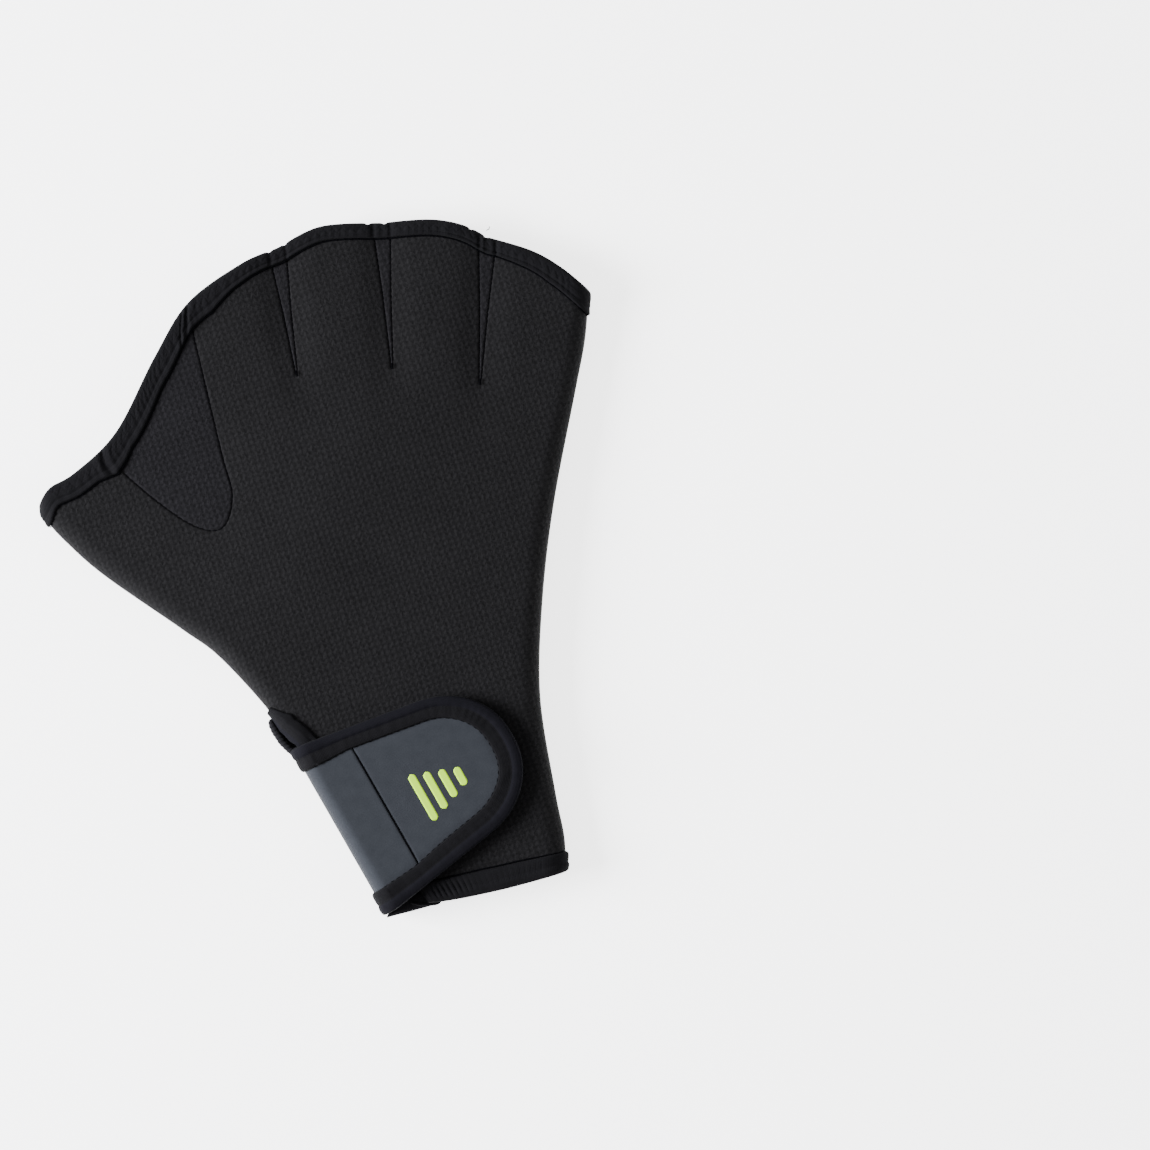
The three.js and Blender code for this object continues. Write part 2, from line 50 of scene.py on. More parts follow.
# Body of the glove, in millimetres as all sizes below
GLOVE_WIDTH = 191
GLOVE_LENGTH = 223
GLOVE_HEIGHT = 12
CROWN_HEIGHT = 1.2
NEOPRENE = 1.8
EDGE_ROLL = 7
SEAM_GAP = 0.3
SEAM_CLEAR = 0.05

# Tapes sewn over the cut edges
TAPE = 0.7
TAPE_STACK = TAPE + SEAM_GAP
WRIST_TAPE_WIDTH = 6
SLIT_TAPE_WIDTH = 7
STRAP_TAPE_WIDTH = 6.6

# Wrist slit in the back, on the thumb side
SLIT_RISE = 13.5
SLIT_TOP = 0.5
SLIT_BOTTOM = 16.5
SLIT_TURN = 7
SLIT_FLARE = 0.8
SLIT_RUN = 3

# Strap from the palm round the thumb-side edge, and its tab
STRAP_PLACE = 24.5
STRAP_WIDTH = 62.4
STRAP_TAPER = 0.16
STRAP_REACH = 64.5
STRAP_THICKNESS = 1.6
STRAP_FOLD = 5
STRAP_ROOT = 8
STRAP_SEAM = 17.5
STRAP_UNDER = 2 * TAPE_STACK + SEAM_GAP
NOTCH_SLOPE = 0.3
NOTCH_RUN = 1
NOSE_LENGTH = 22.5
NOSE_POWER = 2.3

# Hook patch under the tab
HOOK_LENGTH = 24
HOOK_WIDTH = 22
HOOK_SET_BACK = 13

# Webs between the fingers, and the valleys over them
WEB_WIDTH = 5.6
WEB_TIP = 0.6
WEB_WALL = 1.8
VALLEY_DEPTH = 0.6
VALLEY_WIDTH = 6

# Weave of the neoprene's knitted face: square cells, turned from the width of the glove
WEAVE_CELL = 1.38
WEAVE_TURN = math.radians(-41)
WEAVE_RISE = 0.2

# Camera: straight over a point of the ground, turned as in the photograph
PICTURE_WIDTH = 373.75
PICTURE_MIDDLE = (66.5, -18.9)
PICTURE_TURN = math.radians(-15)
CAMERA_HEIGHT = 1600
SENSOR = 36

# Outlines: x as a share of the width from the middle, y as a share of the length from the wrist
LIP_STRETCHES = [
    # thumb tip, thumb web and forefinger
    [(-0.499, 0.718), (-0.472, 0.735), (-0.425, 0.745), (-0.342, 0.786),
     (-0.249, 0.874), (-0.169, 0.939), (-0.064, 0.976), (0.003, 0.9855)],
    # middle finger
    [(0.003, 0.9855), (0.084, 0.999), (0.186, 0.9815)],
    # ring finger
    [(0.186, 0.9815), (0.266, 0.968), (0.318, 0.948), (0.355, 0.921)],
    # little finger
    [(0.355, 0.921), (0.42, 0.886), (0.461, 0.852), (0.498, 0.809)],
]
WRIST_OUTLINE = [(-0.119, 0.034), (-0.032, 0.0115), (0.083, 0.0036), (0.204, 0.0036)]
THUMB_SIDE = [
    (-0.119, 0.034), (-0.14, 0.108), (-0.166, 0.197), (-0.1885, 0.269), (-0.2105, 0.336),
    (-0.269, 0.433), (-0.319, 0.487), (-0.422, 0.591), (-0.47, 0.652), (-0.495, 0.694), (-0.499, 0.718),
]
LITTLE_SIDE = [
    (0.204, 0.0036), (0.216, 0.054), (0.221, 0.121), (0.238, 0.259), (0.283, 0.391),
    (0.3445, 0.524), (0.43, 0.675), (0.4685, 0.744), (0.498, 0.809),
]
THUMB_WEB_SEAM = [
    (-0.1675, 0.951), (-0.171, 0.843), (-0.175, 0.7175), (-0.176, 0.655), (-0.205, 0.614),
    (-0.249, 0.6255), (-0.302, 0.676), (-0.353, 0.74), (-0.387, 0.789),
]
PAST_LIP = [(-0.5, 1.1), (-0.16, 1.1)]

# Crown of the back: middle and spread, as shares of the glove's width and length
CROWN = {"x": 0.03, "y": 0.5, "spread_x": 0.3, "spread_y": 0.27}

# Finger webs: the lip corner where each starts, its lean in degrees, its share of the glove's length
FINGER_WEBS = [
    {"corner": 0, "lean": 6, "length": 0.18},
    {"corner": 1, "lean": 10.6, "length": 0.204},
    {"corner": 2, "lean": 18, "length": 0.206},
]
# How a web narrows: share of its length, share of its width
WEB_NARROWING = [(0, 1), (0.2, 0.78), (0.5, 0.4), (1, 0)]

# Broad swells and dents of the back: place and spread as shares of width and length, turn, rise in mm
SWELLS = [
    {"x": -0.04, "y": 0.615, "across": 0.125, "along": 0.24, "turn": -40, "rise": 1.7},
    {"x": 0.2, "y": 0.6, "across": 0.12, "along": 0.25, "turn": -10, "rise": 0.7},
    {"x": -0.3, "y": 0.62, "across": 0.08, "along": 0.1, "turn": 50, "rise": 0.6},
]
LOBE_RISE = 0.7
LOBE_FADE = 0.5

# Lip tape: share of the mouth's back, width on the back
LIP_TAPE = [(0, 6.4), (0.1, 6.6), (0.13, 8.2), (0.17, 6.2), (0.36, 6.4), (0.4, 7.4), (0.44, 5.6),
            (0.5, 4.9), (0.62, 4.9), (0.85, 5.2), (0.93, 6.6), (1, 6.6)]


def smooth(low, high, value):
    t = np.clip((value - low) / (high - low), 0, 1)
    return t * t * (3 - 2 * t)


def unit(vectors):
    return vectors / np.maximum(np.linalg.norm(vectors, axis=-1, keepdims=True), 1e-9)


def spline(points, steps):
    """Smooth curve through points"""
    last = len(points) - 1
    where = np.linspace(0, last, steps + 1)
    first = where.astype(int)
    t = (where - first)[:, None]
    before = points[np.maximum(first - 1, 0)]
    start = points[first]
    end = points[np.minimum(first + 1, last)]
    after = points[np.minimum(first + 2, last)]
    lead, trail = (end - before) / 2, (after - start) / 2
    bend = 2 * start - 2 * end + lead + trail
    return bend * t ** 3 + (3 * end - 3 * start - 2 * lead - trail) * t ** 2 + lead * t + start


class Line:
    """Line through smooth stretches that meet at corners, asked for by shares of its length"""

    STEPS = 24
    STRETCH = 0.012

    def __init__(self, stretches):
        points = []
        corners = []
        for stretch in stretches:
            curve = spline(np.array(stretch, float), self.STEPS * (len(stretch) - 1))
            points.extend(curve[1:] if points else curve)
            corners.append(len(points) - 1)
        self.points = np.array(points)
        gaps = np.linalg.norm(np.diff(self.points, axis=0), axis=1)
        self.lengths = np.concatenate([[0], np.cumsum(gaps)])
        self.total = self.lengths[-1]
        self.corners = [self.lengths[i] / self.total for i in corners[:-1]]

    def at(self, share):
        wanted = np.clip(share, 0, 1) * self.total
        return np.stack([np.interp(wanted, self.lengths, self.points[:, i]) for i in (0, 1)], axis=-1)

    def right(self, share):
        ahead = unit(self.at(share + self.STRETCH) - self.at(share - self.STRETCH))
        return np.stack([ahead[..., 1], -ahead[..., 0]], axis=-1)

    def beside(self, share, depth):
        return self.at(share) + self.right(share) * depth


def place(shares):
    return np.array(shares, float) * [GLOVE_WIDTH, GLOVE_LENGTH]


lip_outline = Line([place(stretch) for stretch in LIP_STRETCHES])
wrist_line = Line([place(WRIST_OUTLINE)])


def lip_edge(u):
    return lip_outline.beside(u, TAPE_STACK)


def wrist_edge(u):
    return wrist_line.beside(u, -TAPE_STACK)


def side_edge(table, start, end):
    return Line([np.vstack([start, place(table[1:-1]), end])])


WRIST_THUMB, WRIST_LITTLE = wrist_edge(0.0), wrist_edge(1.0)
LIP_THUMB, LIP_LITTLE = lip_edge(0.0), lip_edge(1.0)
thumb_edge = side_edge(THUMB_SIDE, WRIST_THUMB, LIP_THUMB)
little_edge = side_edge(LITTLE_SIDE, WRIST_LITTLE, LIP_LITTLE)
EDGE_LENGTH = thumb_edge.total


def plan(u, v):
    """Plan of the glove: u runs from the thumb side to the little finger, v from the wrist to the lip"""
    u, v = np.broadcast_arrays(np.asarray(u, float), np.asarray(v, float))
    a, b = u[..., None], v[..., None]
    edges = wrist_edge(u) * (1 - b) + lip_edge(u) * b + thumb_edge.at(v) * (1 - a) + little_edge.at(v) * a
    corners = (WRIST_THUMB * (1 - a) * (1 - b) + WRIST_LITTLE * a * (1 - b)
               + LIP_THUMB * (1 - a) * b + LIP_LITTLE * a * b)
    return edges - corners


ROWS = np.linspace(0, 1, 241)
ROW_GRID = plan(np.linspace(0, 1, 61)[None, :], ROWS[:, None])
ROW_LENGTHS = np.linalg.norm(np.diff(ROW_GRID, axis=1), axis=2).sum(axis=1)


def row_length(v):
    return np.interp(v, ROWS, ROW_LENGTHS)


def unplan(points):
    """Shares u and v of points of the plan, found by stepping towards them"""
    guess_u, guess_v = np.meshgrid(np.linspace(0, 1, 31), np.linspace(0, 1, 31))
    nodes = plan(guess_u.ravel(), guess_v.ravel())
    u, v = np.empty(len(points)), np.empty(len(points))
    for part in np.array_split(np.arange(len(points)), len(points) // 4000 + 1):
        gaps = ((points[part][:, None, :] - nodes[None]) ** 2).sum(axis=2)
        nearest = gaps.argmin(axis=1)
        u[part], v[part] = guess_u.ravel()[nearest], guess_v.ravel()[nearest]
    step = 0.004
    for _ in range(8):
        here = plan(u, v)
        span_u = np.where((u < step) | (u > 1 - step), step, 2 * step)[:, None]
        span_v = np.where((v < step) | (v > 1 - step), step, 2 * step)[:, None]
        along_u = (plan(u + step, v) - plan(u - step, v)) / span_u
        along_v = (plan(u, v + step) - plan(u, v - step)) / span_v
        gap = points - here
        size = along_u[:, 0] * along_v[:, 1] - along_u[:, 1] * along_v[:, 0]
        u = np.clip(u + (gap[:, 0] * along_v[:, 1] - gap[:, 1] * along_v[:, 0]) / size, 0, 1)
        v = np.clip(v + (gap[:, 1] * along_u[:, 0] - gap[:, 0] * along_u[:, 1]) / size, 0, 1)
    return u, v


# Glove's place in the frame: its palm node gives the corner that the plan starts from
palm_low = np.array(list(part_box("palm_panel"))[0]) / MM
WRIST_LOW = wrist_edge(np.linspace(0, 1, 201))[:, 1].min()
SHIFT = np.array([palm_low[0] - LIP_THUMB[0], palm_low[1] - WRIST_LOW, 0])


class WebAxis:
    """Axis of a finger web, from its lip corner towards the wrist"""

    def __init__(self, corner, lean, length):
        turn = math.radians(lean)
        self.start = lip_edge(lip_outline.corners[corner])
        self.way = np.array([-math.sin(turn), -math.cos(turn)])
        self.side = np.array([-self.way[1], self.way[0]])
        self.length = length * GLOVE_LENGTH

    def at(self, along, across):
        return self.start + np.multiply.outer(along, self.way) + np.multiply.outer(across, self.side)

    def split(self, points):
        """How far along and across the axis points lie"""
        off = points - self.start
        return off @ self.way, off @ self.side


web_axes = [WebAxis(**web) for web in FINGER_WEBS]


def crown(points):
    """Upper surface of the back without its swells"""
    off_x = (points[..., 0] / GLOVE_WIDTH - CROWN["x"]) / CROWN["spread_x"]
    off_y = (points[..., 1] / GLOVE_LENGTH - CROWN["y"]) / CROWN["spread_y"]
    height = GLOVE_HEIGHT + CROWN_HEIGHT * np.exp(-off_x ** 2 - off_y ** 2)
    for axis in web_axes:
        along, across = axis.split(points)
        depth = VALLEY_DEPTH * (1 - smooth(0.6, 1.5, along / axis.length))
        height = height - depth * np.exp(-(across / VALLEY_WIDTH) ** 2)
    return height


def swell(points):
    """Broad swells and dents of the cloth, and the lobe over each finger"""
    rise = np.zeros(points.shape[:-1])
    for row in SWELLS:
        turn = math.radians(row["turn"])
        off_x = points[..., 0] - row["x"] * GLOVE_WIDTH
        off_y = points[..., 1] - row["y"] * GLOVE_LENGTH
        across = (off_x * math.cos(turn) + off_y * math.sin(turn)) / (row["across"] * GLOVE_WIDTH)
        along = (off_y * math.cos(turn) - off_x * math.sin(turn)) / (row["along"] * GLOVE_LENGTH)
        rise = rise + row["rise"] * np.exp(-across ** 2 - along ** 2)
    for axis in web_axes:
        along, across = axis.split(points)
        depth = LOBE_RISE * (1 - smooth(LOBE_FADE, 1.6, along / axis.length))
        rise = rise - depth * np.exp(-(across / (1.2 * VALLEY_WIDTH)) ** 2)
    wrist = smooth(0.26, 0.45, points[..., 1] / GLOVE_LENGTH)
    return rise * wrist


def back_top(points):
    return crown(points) + swell(points)


# Rows that the legs of the hem's tape and of the lip's tape reach to
HEM_ROW = (WRIST_TAPE_WIDTH - TAPE_STACK) / EDGE_LENGTH
LIP_ROW = 1 - 4 / EDGE_LENGTH
LIFT_RUN = 0.045
SEAM_HEIGHT = GLOVE_HEIGHT / 2


def palm_bottom(v):
    """Underside of the palm: flat on the ground, lifted at the lip and the wrist by the tape under it"""
    return TAPE_STACK * (1 - smooth(HEM_ROW, HEM_ROW + LIFT_RUN, v) + smooth(LIP_ROW - LIFT_RUN, LIP_ROW, v))


def roll(distance):
    """Rise of a rolled side edge, 0 at the seam and 1 where the panel is flat"""
    left = 1 - np.minimum(distance / EDGE_ROLL, 1)
    return np.sqrt(np.maximum(1 - left * left, 0))


# Frame of the strap: b runs along the fold towards the fingers, a across the back from the fold
STRAP_UPPER = STRAP_PLACE + STRAP_WIDTH / 2 + SEAM_GAP
FOLD_LOW = thumb_edge.at(0.0)
FOLD_UP = unit(thumb_edge.at(STRAP_UPPER / EDGE_LENGTH) - FOLD_LOW)
FOLD_IN = np.array([FOLD_UP[1], -FOLD_UP[0]])
FOLD_MIDDLE = FOLD_LOW + FOLD_UP * STRAP_PLACE


def on_strap(a, b):
    a, b = np.broadcast_arrays(np.asarray(a, float), np.asarray(b, float))
    return FOLD_MIDDLE + a[..., None] * FOLD_IN + b[..., None] * FOLD_UP


SLIT_END = (STRAP_UPPER + SLIT_RISE) / EDGE_LENGTH
SLIT_STRAIGHT = (STRAP_UPPER + SLIT_RISE - SLIT_TURN) / EDGE_LENGTH
NOTCH_END = (STRAP_UPPER + SEAM_GAP + STRAP_ROOT * NOTCH_SLOPE) / EDGE_LENGTH


def slit_start(v):
    """Where the back starts on the thumb side, measured in from the edge"""
    v = np.asarray(v, float)
    part = np.clip((v - SLIT_STRAIGHT) / (SLIT_END - SLIT_STRAIGHT), 0, 1)
    turning = SLIT_TOP * np.sqrt(1 - part * part)
    opening = np.clip(1 - v / SLIT_STRAIGHT, 0, 1) ** SLIT_FLARE
    straight = SLIT_TOP + (SLIT_BOTTOM - SLIT_TOP) * opening
    return np.where(v >= SLIT_END, 0, np.where(v > SLIT_STRAIGHT, turning, straight))


def notch_start(v):
    """Where the palm starts on the thumb side, clear of the strap's root"""
    v = np.asarray(v, float)
    span = 2 * STRAP_ROOT
    near = (plan(0, v) - FOLD_MIDDLE) @ FOLD_IN
    far = (plan(span / row_length(v), v) - FOLD_MIDDLE) @ FOLD_IN
    crossing = span * (STRAP_ROOT + SEAM_GAP - near) / (far - near)
    return crossing * (1 - smooth(NOTCH_END, NOTCH_END + NOTCH_RUN / EDGE_LENGTH, v))


def wall(v, s, is_back):
    """Outer and inner points of a panel at a distance s in from the thumb side"""
    v, s = np.broadcast_arrays(np.asarray(v, float), np.asarray(s, float))
    length = row_length(v)
    base = SEAM_HEIGHT + (SEAM_GAP / 2 if is_back else -SEAM_GAP / 2)
    from_edge = np.minimum(s, length - s)
    inward = NEOPRENE * (1 - np.minimum(from_edge / EDGE_ROLL, 1)) * np.where(s < length / 2, 1, -1)
    outside = plan(s / length, v)
    inside = plan((s + inward) / length, v)
    if is_back:
        top, under = back_top(outside), back_top(inside) - NEOPRENE
    else:
        top, under = palm_bottom(v), palm_bottom(v) + NEOPRENE
    rise = roll(from_edge)
    outer = np.concatenate([outside, (base + (top - base) * rise)[..., None]], axis=-1)
    inner = np.concatenate([inside, (base + (under - base) * rise)[..., None]], axis=-1)
    return outer, inner


def panel_surface(points, is_back):
    """Outer surface of a panel over points of its plan, and where its flat cloth would lie"""
    u, v = unplan(points)
    length = row_length(v)
    s = u * length
    outer, _ = wall(v, s, is_back)
    from_edge = np.minimum(s, length - s)
    turn = np.arccos(np.clip(1 - from_edge / EDGE_ROLL, 0, 1))
    arc = (EDGE_ROLL + SEAM_HEIGHT) / 2 * (math.pi / 2 - turn)
    outward = unit(plan(0, v) - plan(1, v)) * np.where(s < length / 2, 1, -1)[:, None]
    spare = np.where(from_edge < EDGE_ROLL, arc - (EDGE_ROLL - from_edge), 0)
    cloth = points + outward * spare[:, None]
    return np.column_stack([points, outer[:, 2]]), cloth


# Meshes
def make_mesh(name, points, faces, uv=None):
    """Smooth object from points in millimetres of the glove's own plan"""
    mesh = bpy.data.meshes.new(name)
    places = (np.asarray(points) + SHIFT) * MM
    mesh.from_pydata(places.tolist(), [], [[int(corner) for corner in face] for face in faces])
    mesh.validate()
    mesh.polygons.foreach_set("use_smooth", [True] * len(mesh.polygons))
    if uv is not None:
        layer = mesh.uv_layers.new(name="cloth")
        corners = np.empty(len(mesh.loops), int)
        mesh.loops.foreach_get("vertex_index", corners)
        layer.data.foreach_set("uv", np.asarray(uv, float)[corners].ravel())
    made = bpy.data.objects.new(name, mesh)
    bpy.context.scene.collection.objects.link(made)
    return made


def grid_faces(rows, columns, around=False, closed=False):
    """Faces of a net of points; around joins its last column to the first, closed its last row"""
    i, j = np.meshgrid(np.arange(rows if closed else rows - 1),
                       np.arange(columns if around else columns - 1), indexing="ij")
    i, j = i.ravel(), j.ravel()
    here, below = i * columns, (i + 1) % rows * columns
    beside = (j + 1) % columns
    return np.column_stack([here + j, here + beside, below + beside, below + j])


def path_lengths(points):
    return np.concatenate([[0], np.cumsum(np.linalg.norm(np.diff(points, axis=0), axis=1))])


def volume_of(points, faces):
    total = 0
    for face in (faces[:, [0, 1, 2]], faces[:, [0, 2, 3]]):
        a, b, c = (points[face[:, k]] for k in range(3))
        total += np.einsum("ij,ij->i", a, np.cross(b, c)).sum()
    return total


def tube(name, rings, closed=False, uv=None):
    """Closed body through rings of points, capped where it isn't a loop"""
    count, size = rings.shape[:2]
    points = rings.reshape(-1, 3)
    if uv is None:
        travel = path_lengths(rings[:, 0])[:, None]
        girth = path_lengths(rings[count // 2])[None]
        uv = np.stack(np.broadcast_arrays(travel, girth), axis=-1).reshape(-1, 2)
    faces = grid_faces(count, size, around=True, closed=closed)
    middle = points.mean(axis=0)
    turned = volume_of(points - middle, faces) < 0
    if turned:
        faces = faces[:, ::-1]
    faces = faces.tolist()
    if not closed:
        step = 1 if turned else -1
        faces += [list(range(size))[::step], list(range((count - 1) * size, count * size))[::-step]]
    return make_mesh(name, points, faces, uv)


def in_outline(points, outline):
    """Which points of the plan lie within a closed outline"""
    found = np.zeros(len(points), bool)
    x, y = points[:, 0], points[:, 1]
    for (x0, y0), (x1, y1) in zip(outline, np.roll(outline, -1, axis=0)):
        if y0 == y1:
            continue
        crosses = (y0 > y) != (y1 > y)
        found ^= crosses & (x < (x1 - x0) * (y - y0) / (y1 - y0) + x0)
    return found


def gap_to(points, line):
    """Distance from points of the plan to a line of points"""
    least = np.full(len(points), 1e9)
    for part in np.array_split(np.arange(len(points)), len(points) // 4000 + 1):
        start, end = line[:-1], line[1:]
        step = end - start
        off = points[part][:, None] - start[None]
        share = np.clip((off * step).sum(axis=2) / np.maximum((step ** 2).sum(axis=1), 1e-12), 0, 1)
        near = off - share[..., None] * step[None]
        least[part] = np.sqrt((near ** 2).sum(axis=2).min(axis=1))
    return least


def spaced(line, step):
    """The same line of points with even steps"""
    lengths = path_lengths(line)
    count = max(int(lengths[-1] / step), 1)
    wanted = np.linspace(0, lengths[-1], count + 1)
    return np.column_stack([np.interp(wanted, lengths, line[:, i]) for i in (0, 1)])


def offset(line, depth):
    """A line of points moved to its right"""
    ahead = unit(np.gradient(line, axis=0))
    return line + np.column_stack([ahead[:, 1], -ahead[:, 0]]) * depth


# Points of the cut cloth: rows beside a seam, steps along seam and border, least gap to a border
SEAM_ROWS = (0.18, 0.42, 0.8, 1.4)
SEAM_STEP = 0.6
BORDER_STEP = 0.9
BORDER_CLEAR = 0.12


def closed_line(loop):
    """A closed line of points, its first one repeated at the end"""
    return np.vstack([loop, loop[:1]])


def least_gap(points, lines):
    """Distance from points of the plan to the nearest of several lines"""
    return np.min([gap_to(points, line) for line in lines], axis=0)


def within_cut(points, shapes, holes):
    """Which points of the plan lie inside all shapes and outside all holes"""
    found = np.ones(len(points), bool)
    for loop in shapes:
        found &= in_outline(points, loop)
    for loop in holes:
        found &= ~in_outline(points, loop)
    return found


def row_points(seams, rows, lines):
    """Points in rows: the given ones and those beside the seams, clear of the borders' lines"""
    near = [np.asarray(row, float) for row in rows]
    for seam in seams:
        line = spaced(seam, SEAM_STEP)
        near += [offset(line, side * depth) for depth in SEAM_ROWS for side in (1, -1)]
    near = np.vstack(near)
    near = near[least_gap(near, lines) > BORDER_CLEAR]
    if seams:
        least = least_gap(near, seams)
        wanted = np.array([0, *SEAM_ROWS])
        strays = np.abs(least[:, None] - wanted).min(axis=1) > BORDER_CLEAR / 2
        near = near[~(strays & (least < SEAM_ROWS[-1]))]
    return near


def cut_cloth(shapes, holes, seams, grid, rows=()):
    """Triangles over the part of the plan inside all shapes and outside all holes.
    Rows of points beside the seams let the cloth turn down into them."""
    loops = [*shapes, *holes]
    borders = [spaced(closed_line(loop), BORDER_STEP)[:-1] for loop in loops]
    lines = [closed_line(loop) for loop in loops]
    edges = []
    start = 0
    for border in borders:
        count = len(border)
        edges += [(start + i, start + (i + 1) % count) for i in range(count)]
        start += count
    kept = [*borders]
    if seams or rows:
        kept.append(row_points(seams, rows, lines))
    clear = least_gap(grid, lines) > 5 * BORDER_CLEAR
    if seams:
        clear &= least_gap(grid, seams) > SEAM_ROWS[-1] + SEAM_STEP
    points = np.vstack([*kept, grid[clear]])
    chosen = within_cut(points, shapes, holes)
    chosen[:start] = True
    verts, _, faces, *_ = delaunay_2d_cdt([Vector(p) for p in points[chosen]], edges, [], 0, 1e-5)
    verts = np.array([tuple(p) for p in verts])
    faces = np.array([face for face in faces if len(face) == 3])
    faces = faces[within_cut(verts[faces].mean(axis=1), shapes, holes)]
    used, faces = np.unique(faces.ravel(), return_inverse=True)
    faces = faces.reshape(-1, 3)
    verts = verts[used]
    a, b, c = (verts[faces[:, k]] for k in range(3))
    area = (b[:, 0] - a[:, 0]) * (c[:, 1] - a[:, 1]) - (b[:, 1] - a[:, 1]) * (c[:, 0] - a[:, 0])
    faces[area < 0] = faces[area < 0][:, ::-1]
    return verts, faces


def thicken(piece, depth):
    """Gives a cloth its thickness below its face"""
    solid = piece.modifiers.new("thickness", "SOLIDIFY")
    solid.thickness = depth * MM
    solid.offset = -1
    solid.use_rim = True
    return piece


# Finishes
class Wire:
    """A shader socket that takes part in sums: each operator adds the Math node that it needs"""

    def __init__(self, finish, socket):
        self.finish = finish
        self.socket = socket

    def math(self, operation, *others):
        made = self.finish.tree.nodes.new("ShaderNodeMath")
        made.operation = operation
        for socket, value in zip(made.inputs, (self, *others)):
            self.finish.feed(socket, value)
        return Wire(self.finish, made.outputs[0])

    def flipped(self, operation, other):
        made = self.finish.tree.nodes.new("ShaderNodeMath")
        made.operation = operation
        self.finish.feed(made.inputs[0], other)
        self.finish.feed(made.inputs[1], self)
        return Wire(self.finish, made.outputs[0])

    def __add__(self, other):
        return self.math("ADD", other)

    __radd__ = __add__

    def __mul__(self, other):
        return self.math("MULTIPLY", other)

    __rmul__ = __mul__

    def __sub__(self, other):
        return self.math("SUBTRACT", other)

    def __rsub__(self, other):
        return self.flipped("SUBTRACT", other)

    def __truediv__(self, other):
        return self.math("DIVIDE", other)

    def __abs__(self):
        return self.math("ABSOLUTE")

    def sin(self):
        return self.math("SINE")

    def clamp(self):
        return self.math("MINIMUM", 1).math("MAXIMUM", 0)


class Finish:
    """A material under way. Every node that isn't a sum comes from node()."""

    def __init__(self, name, colour, roughness, **constants):
        self.material = bpy.data.materials.new(name)
        self.material.use_nodes = True
        self.tree = self.material.node_tree
        self.shader = self.tree.nodes["Principled BSDF"]
        self.shader.inputs["Base Color"].default_value = (*colour, 1)
        self.shader.inputs["Roughness"].default_value = roughness
        for label, value in constants.items():
            self.shader.inputs[label.replace("_", " ").title().replace("Ior", "IOR")].default_value = value

    def feed(self, socket, value):
        if isinstance(value, Wire):
            self.tree.links.new(value.socket, socket)
        elif value is not None:
            socket.default_value = value

    def node(self, kind, settings=None, output=0, **inputs):
        made = self.tree.nodes.new(kind)
        for key, value in (settings or {}).items():
            setattr(made, key, value)
        for key, value in inputs.items():
            self.feed(made.inputs[key], value)
        return Wire(self, made.outputs[output])

    def noise(self, where, scale, detail=2, roughness=0.5):
        return self.node("ShaderNodeTexNoise", None, "Fac", Vector=where, Scale=scale, Detail=detail,
                         Roughness=roughness)

    def mix(self, share, first, second):
        """Colour between two others"""
        made = self.tree.nodes.new("ShaderNodeMix")
        made.data_type = "RGBA"
        colours = [socket for socket in made.inputs if socket.type == "RGBA"]
        self.feed(made.inputs[0], share)
        for socket, colour in zip(colours, (first, second)):
            self.feed(socket, colour if isinstance(colour, Wire) else (*colour, 1))
        return Wire(self, next(socket for socket in made.outputs if socket.type == "RGBA"))

    def relief(self, height, distance, strength=1.0):
        """Bump of a height from 0 to 1, its full rise a distance in millimetres"""
        bump = self.node("ShaderNodeBump", None, 0, Height=height, Strength=strength, Distance=distance * MM)
        self.feed(self.shader.inputs["Normal"], bump)

    def paint(self, colour=None, roughness=None):
        self.feed(self.shader.inputs["Base Color"], colour)
        self.feed(self.shader.inputs["Roughness"], roughness)
        return self.material


def cloth_places(finish):
    """Places on the flat cloth, in millimetres: x and y"""
    where = finish.node("ShaderNodeUVMap", {"uv_map": "cloth"})
    x = finish.node("ShaderNodeSeparateXYZ", None, "X", Vector=where)
    y = finish.node("ShaderNodeSeparateXYZ", None, "Y", Vector=where)
    return where, x, y


# Waves that make up the weave's cells, both in its bump and in its colour's painted highlight and shade: how
# often each repeats along both diagonals, strength, phase
WEAVE_WAVES = [(1, 0, 1.0, 0), (0, 1, 0.85, 0), (1, 1, 0.7, 0.54), (-1, 1, 0.4, -2.9)]
# The cells' contrast sets both their bump and their painted highlight and shade; the blotches are random tone
WEAVE_CONTRAST = 0.21
WEAVE_STRAY = 2.5
WEAVE_PATCHES = 4
WEAVE_GRAIN = 1.3
WEAVE_BLOTCHES = 0.35


def knit_neoprene(name, dark, light):
    """Neoprene with a pressed basket weave: slanted raised cells, set like bricks. Its colour is partly
    painted light: lighter on the raised cells and darker in the gaps, with random blotches.
    """
    finish = Finish(name, dark, 0.85, specular_ior_level=0.06, sheen_weight=0.02, sheen_roughness=0.4)
    where, x, y = cloth_places(finish)
    stray = (finish.noise(where, 0.45, 4, 0.75) - 0.5) * WEAVE_STRAY
    p = (x * math.cos(WEAVE_TURN) + y * math.sin(WEAVE_TURN)) / WEAVE_CELL + stray
    q = (y * math.cos(WEAVE_TURN) - x * math.sin(WEAVE_TURN)) / WEAVE_CELL - stray
    first, second = (p - q) * math.pi, (p + q) * math.pi
    cells = 0
    for along_first, along_second, strength, phase in WEAVE_WAVES:
        turn = first * along_first + second * along_second + (phase + math.pi / 2)
        cells = turn.sin() * strength + cells
    patchy = finish.noise(where, 0.55, 3, 0.7) * WEAVE_PATCHES - 1
    grain = finish.noise(where, 2.2, 4, 0.75) - 0.5
    height = (cells * patchy * WEAVE_CONTRAST + grain * WEAVE_GRAIN + 0.5).clamp()
    blotch = finish.noise(where, 0.05, 3) - 0.5
    finish.relief(height, WEAVE_RISE)
    # Colour from the height: painted highlight on the raised cells and painted shade in the gaps, plus random
    # blotches
    tone = (height * 0.9 + blotch * WEAVE_BLOTCHES + 0.05).clamp()
    return finish.paint(finish.mix(tone, dark, light))


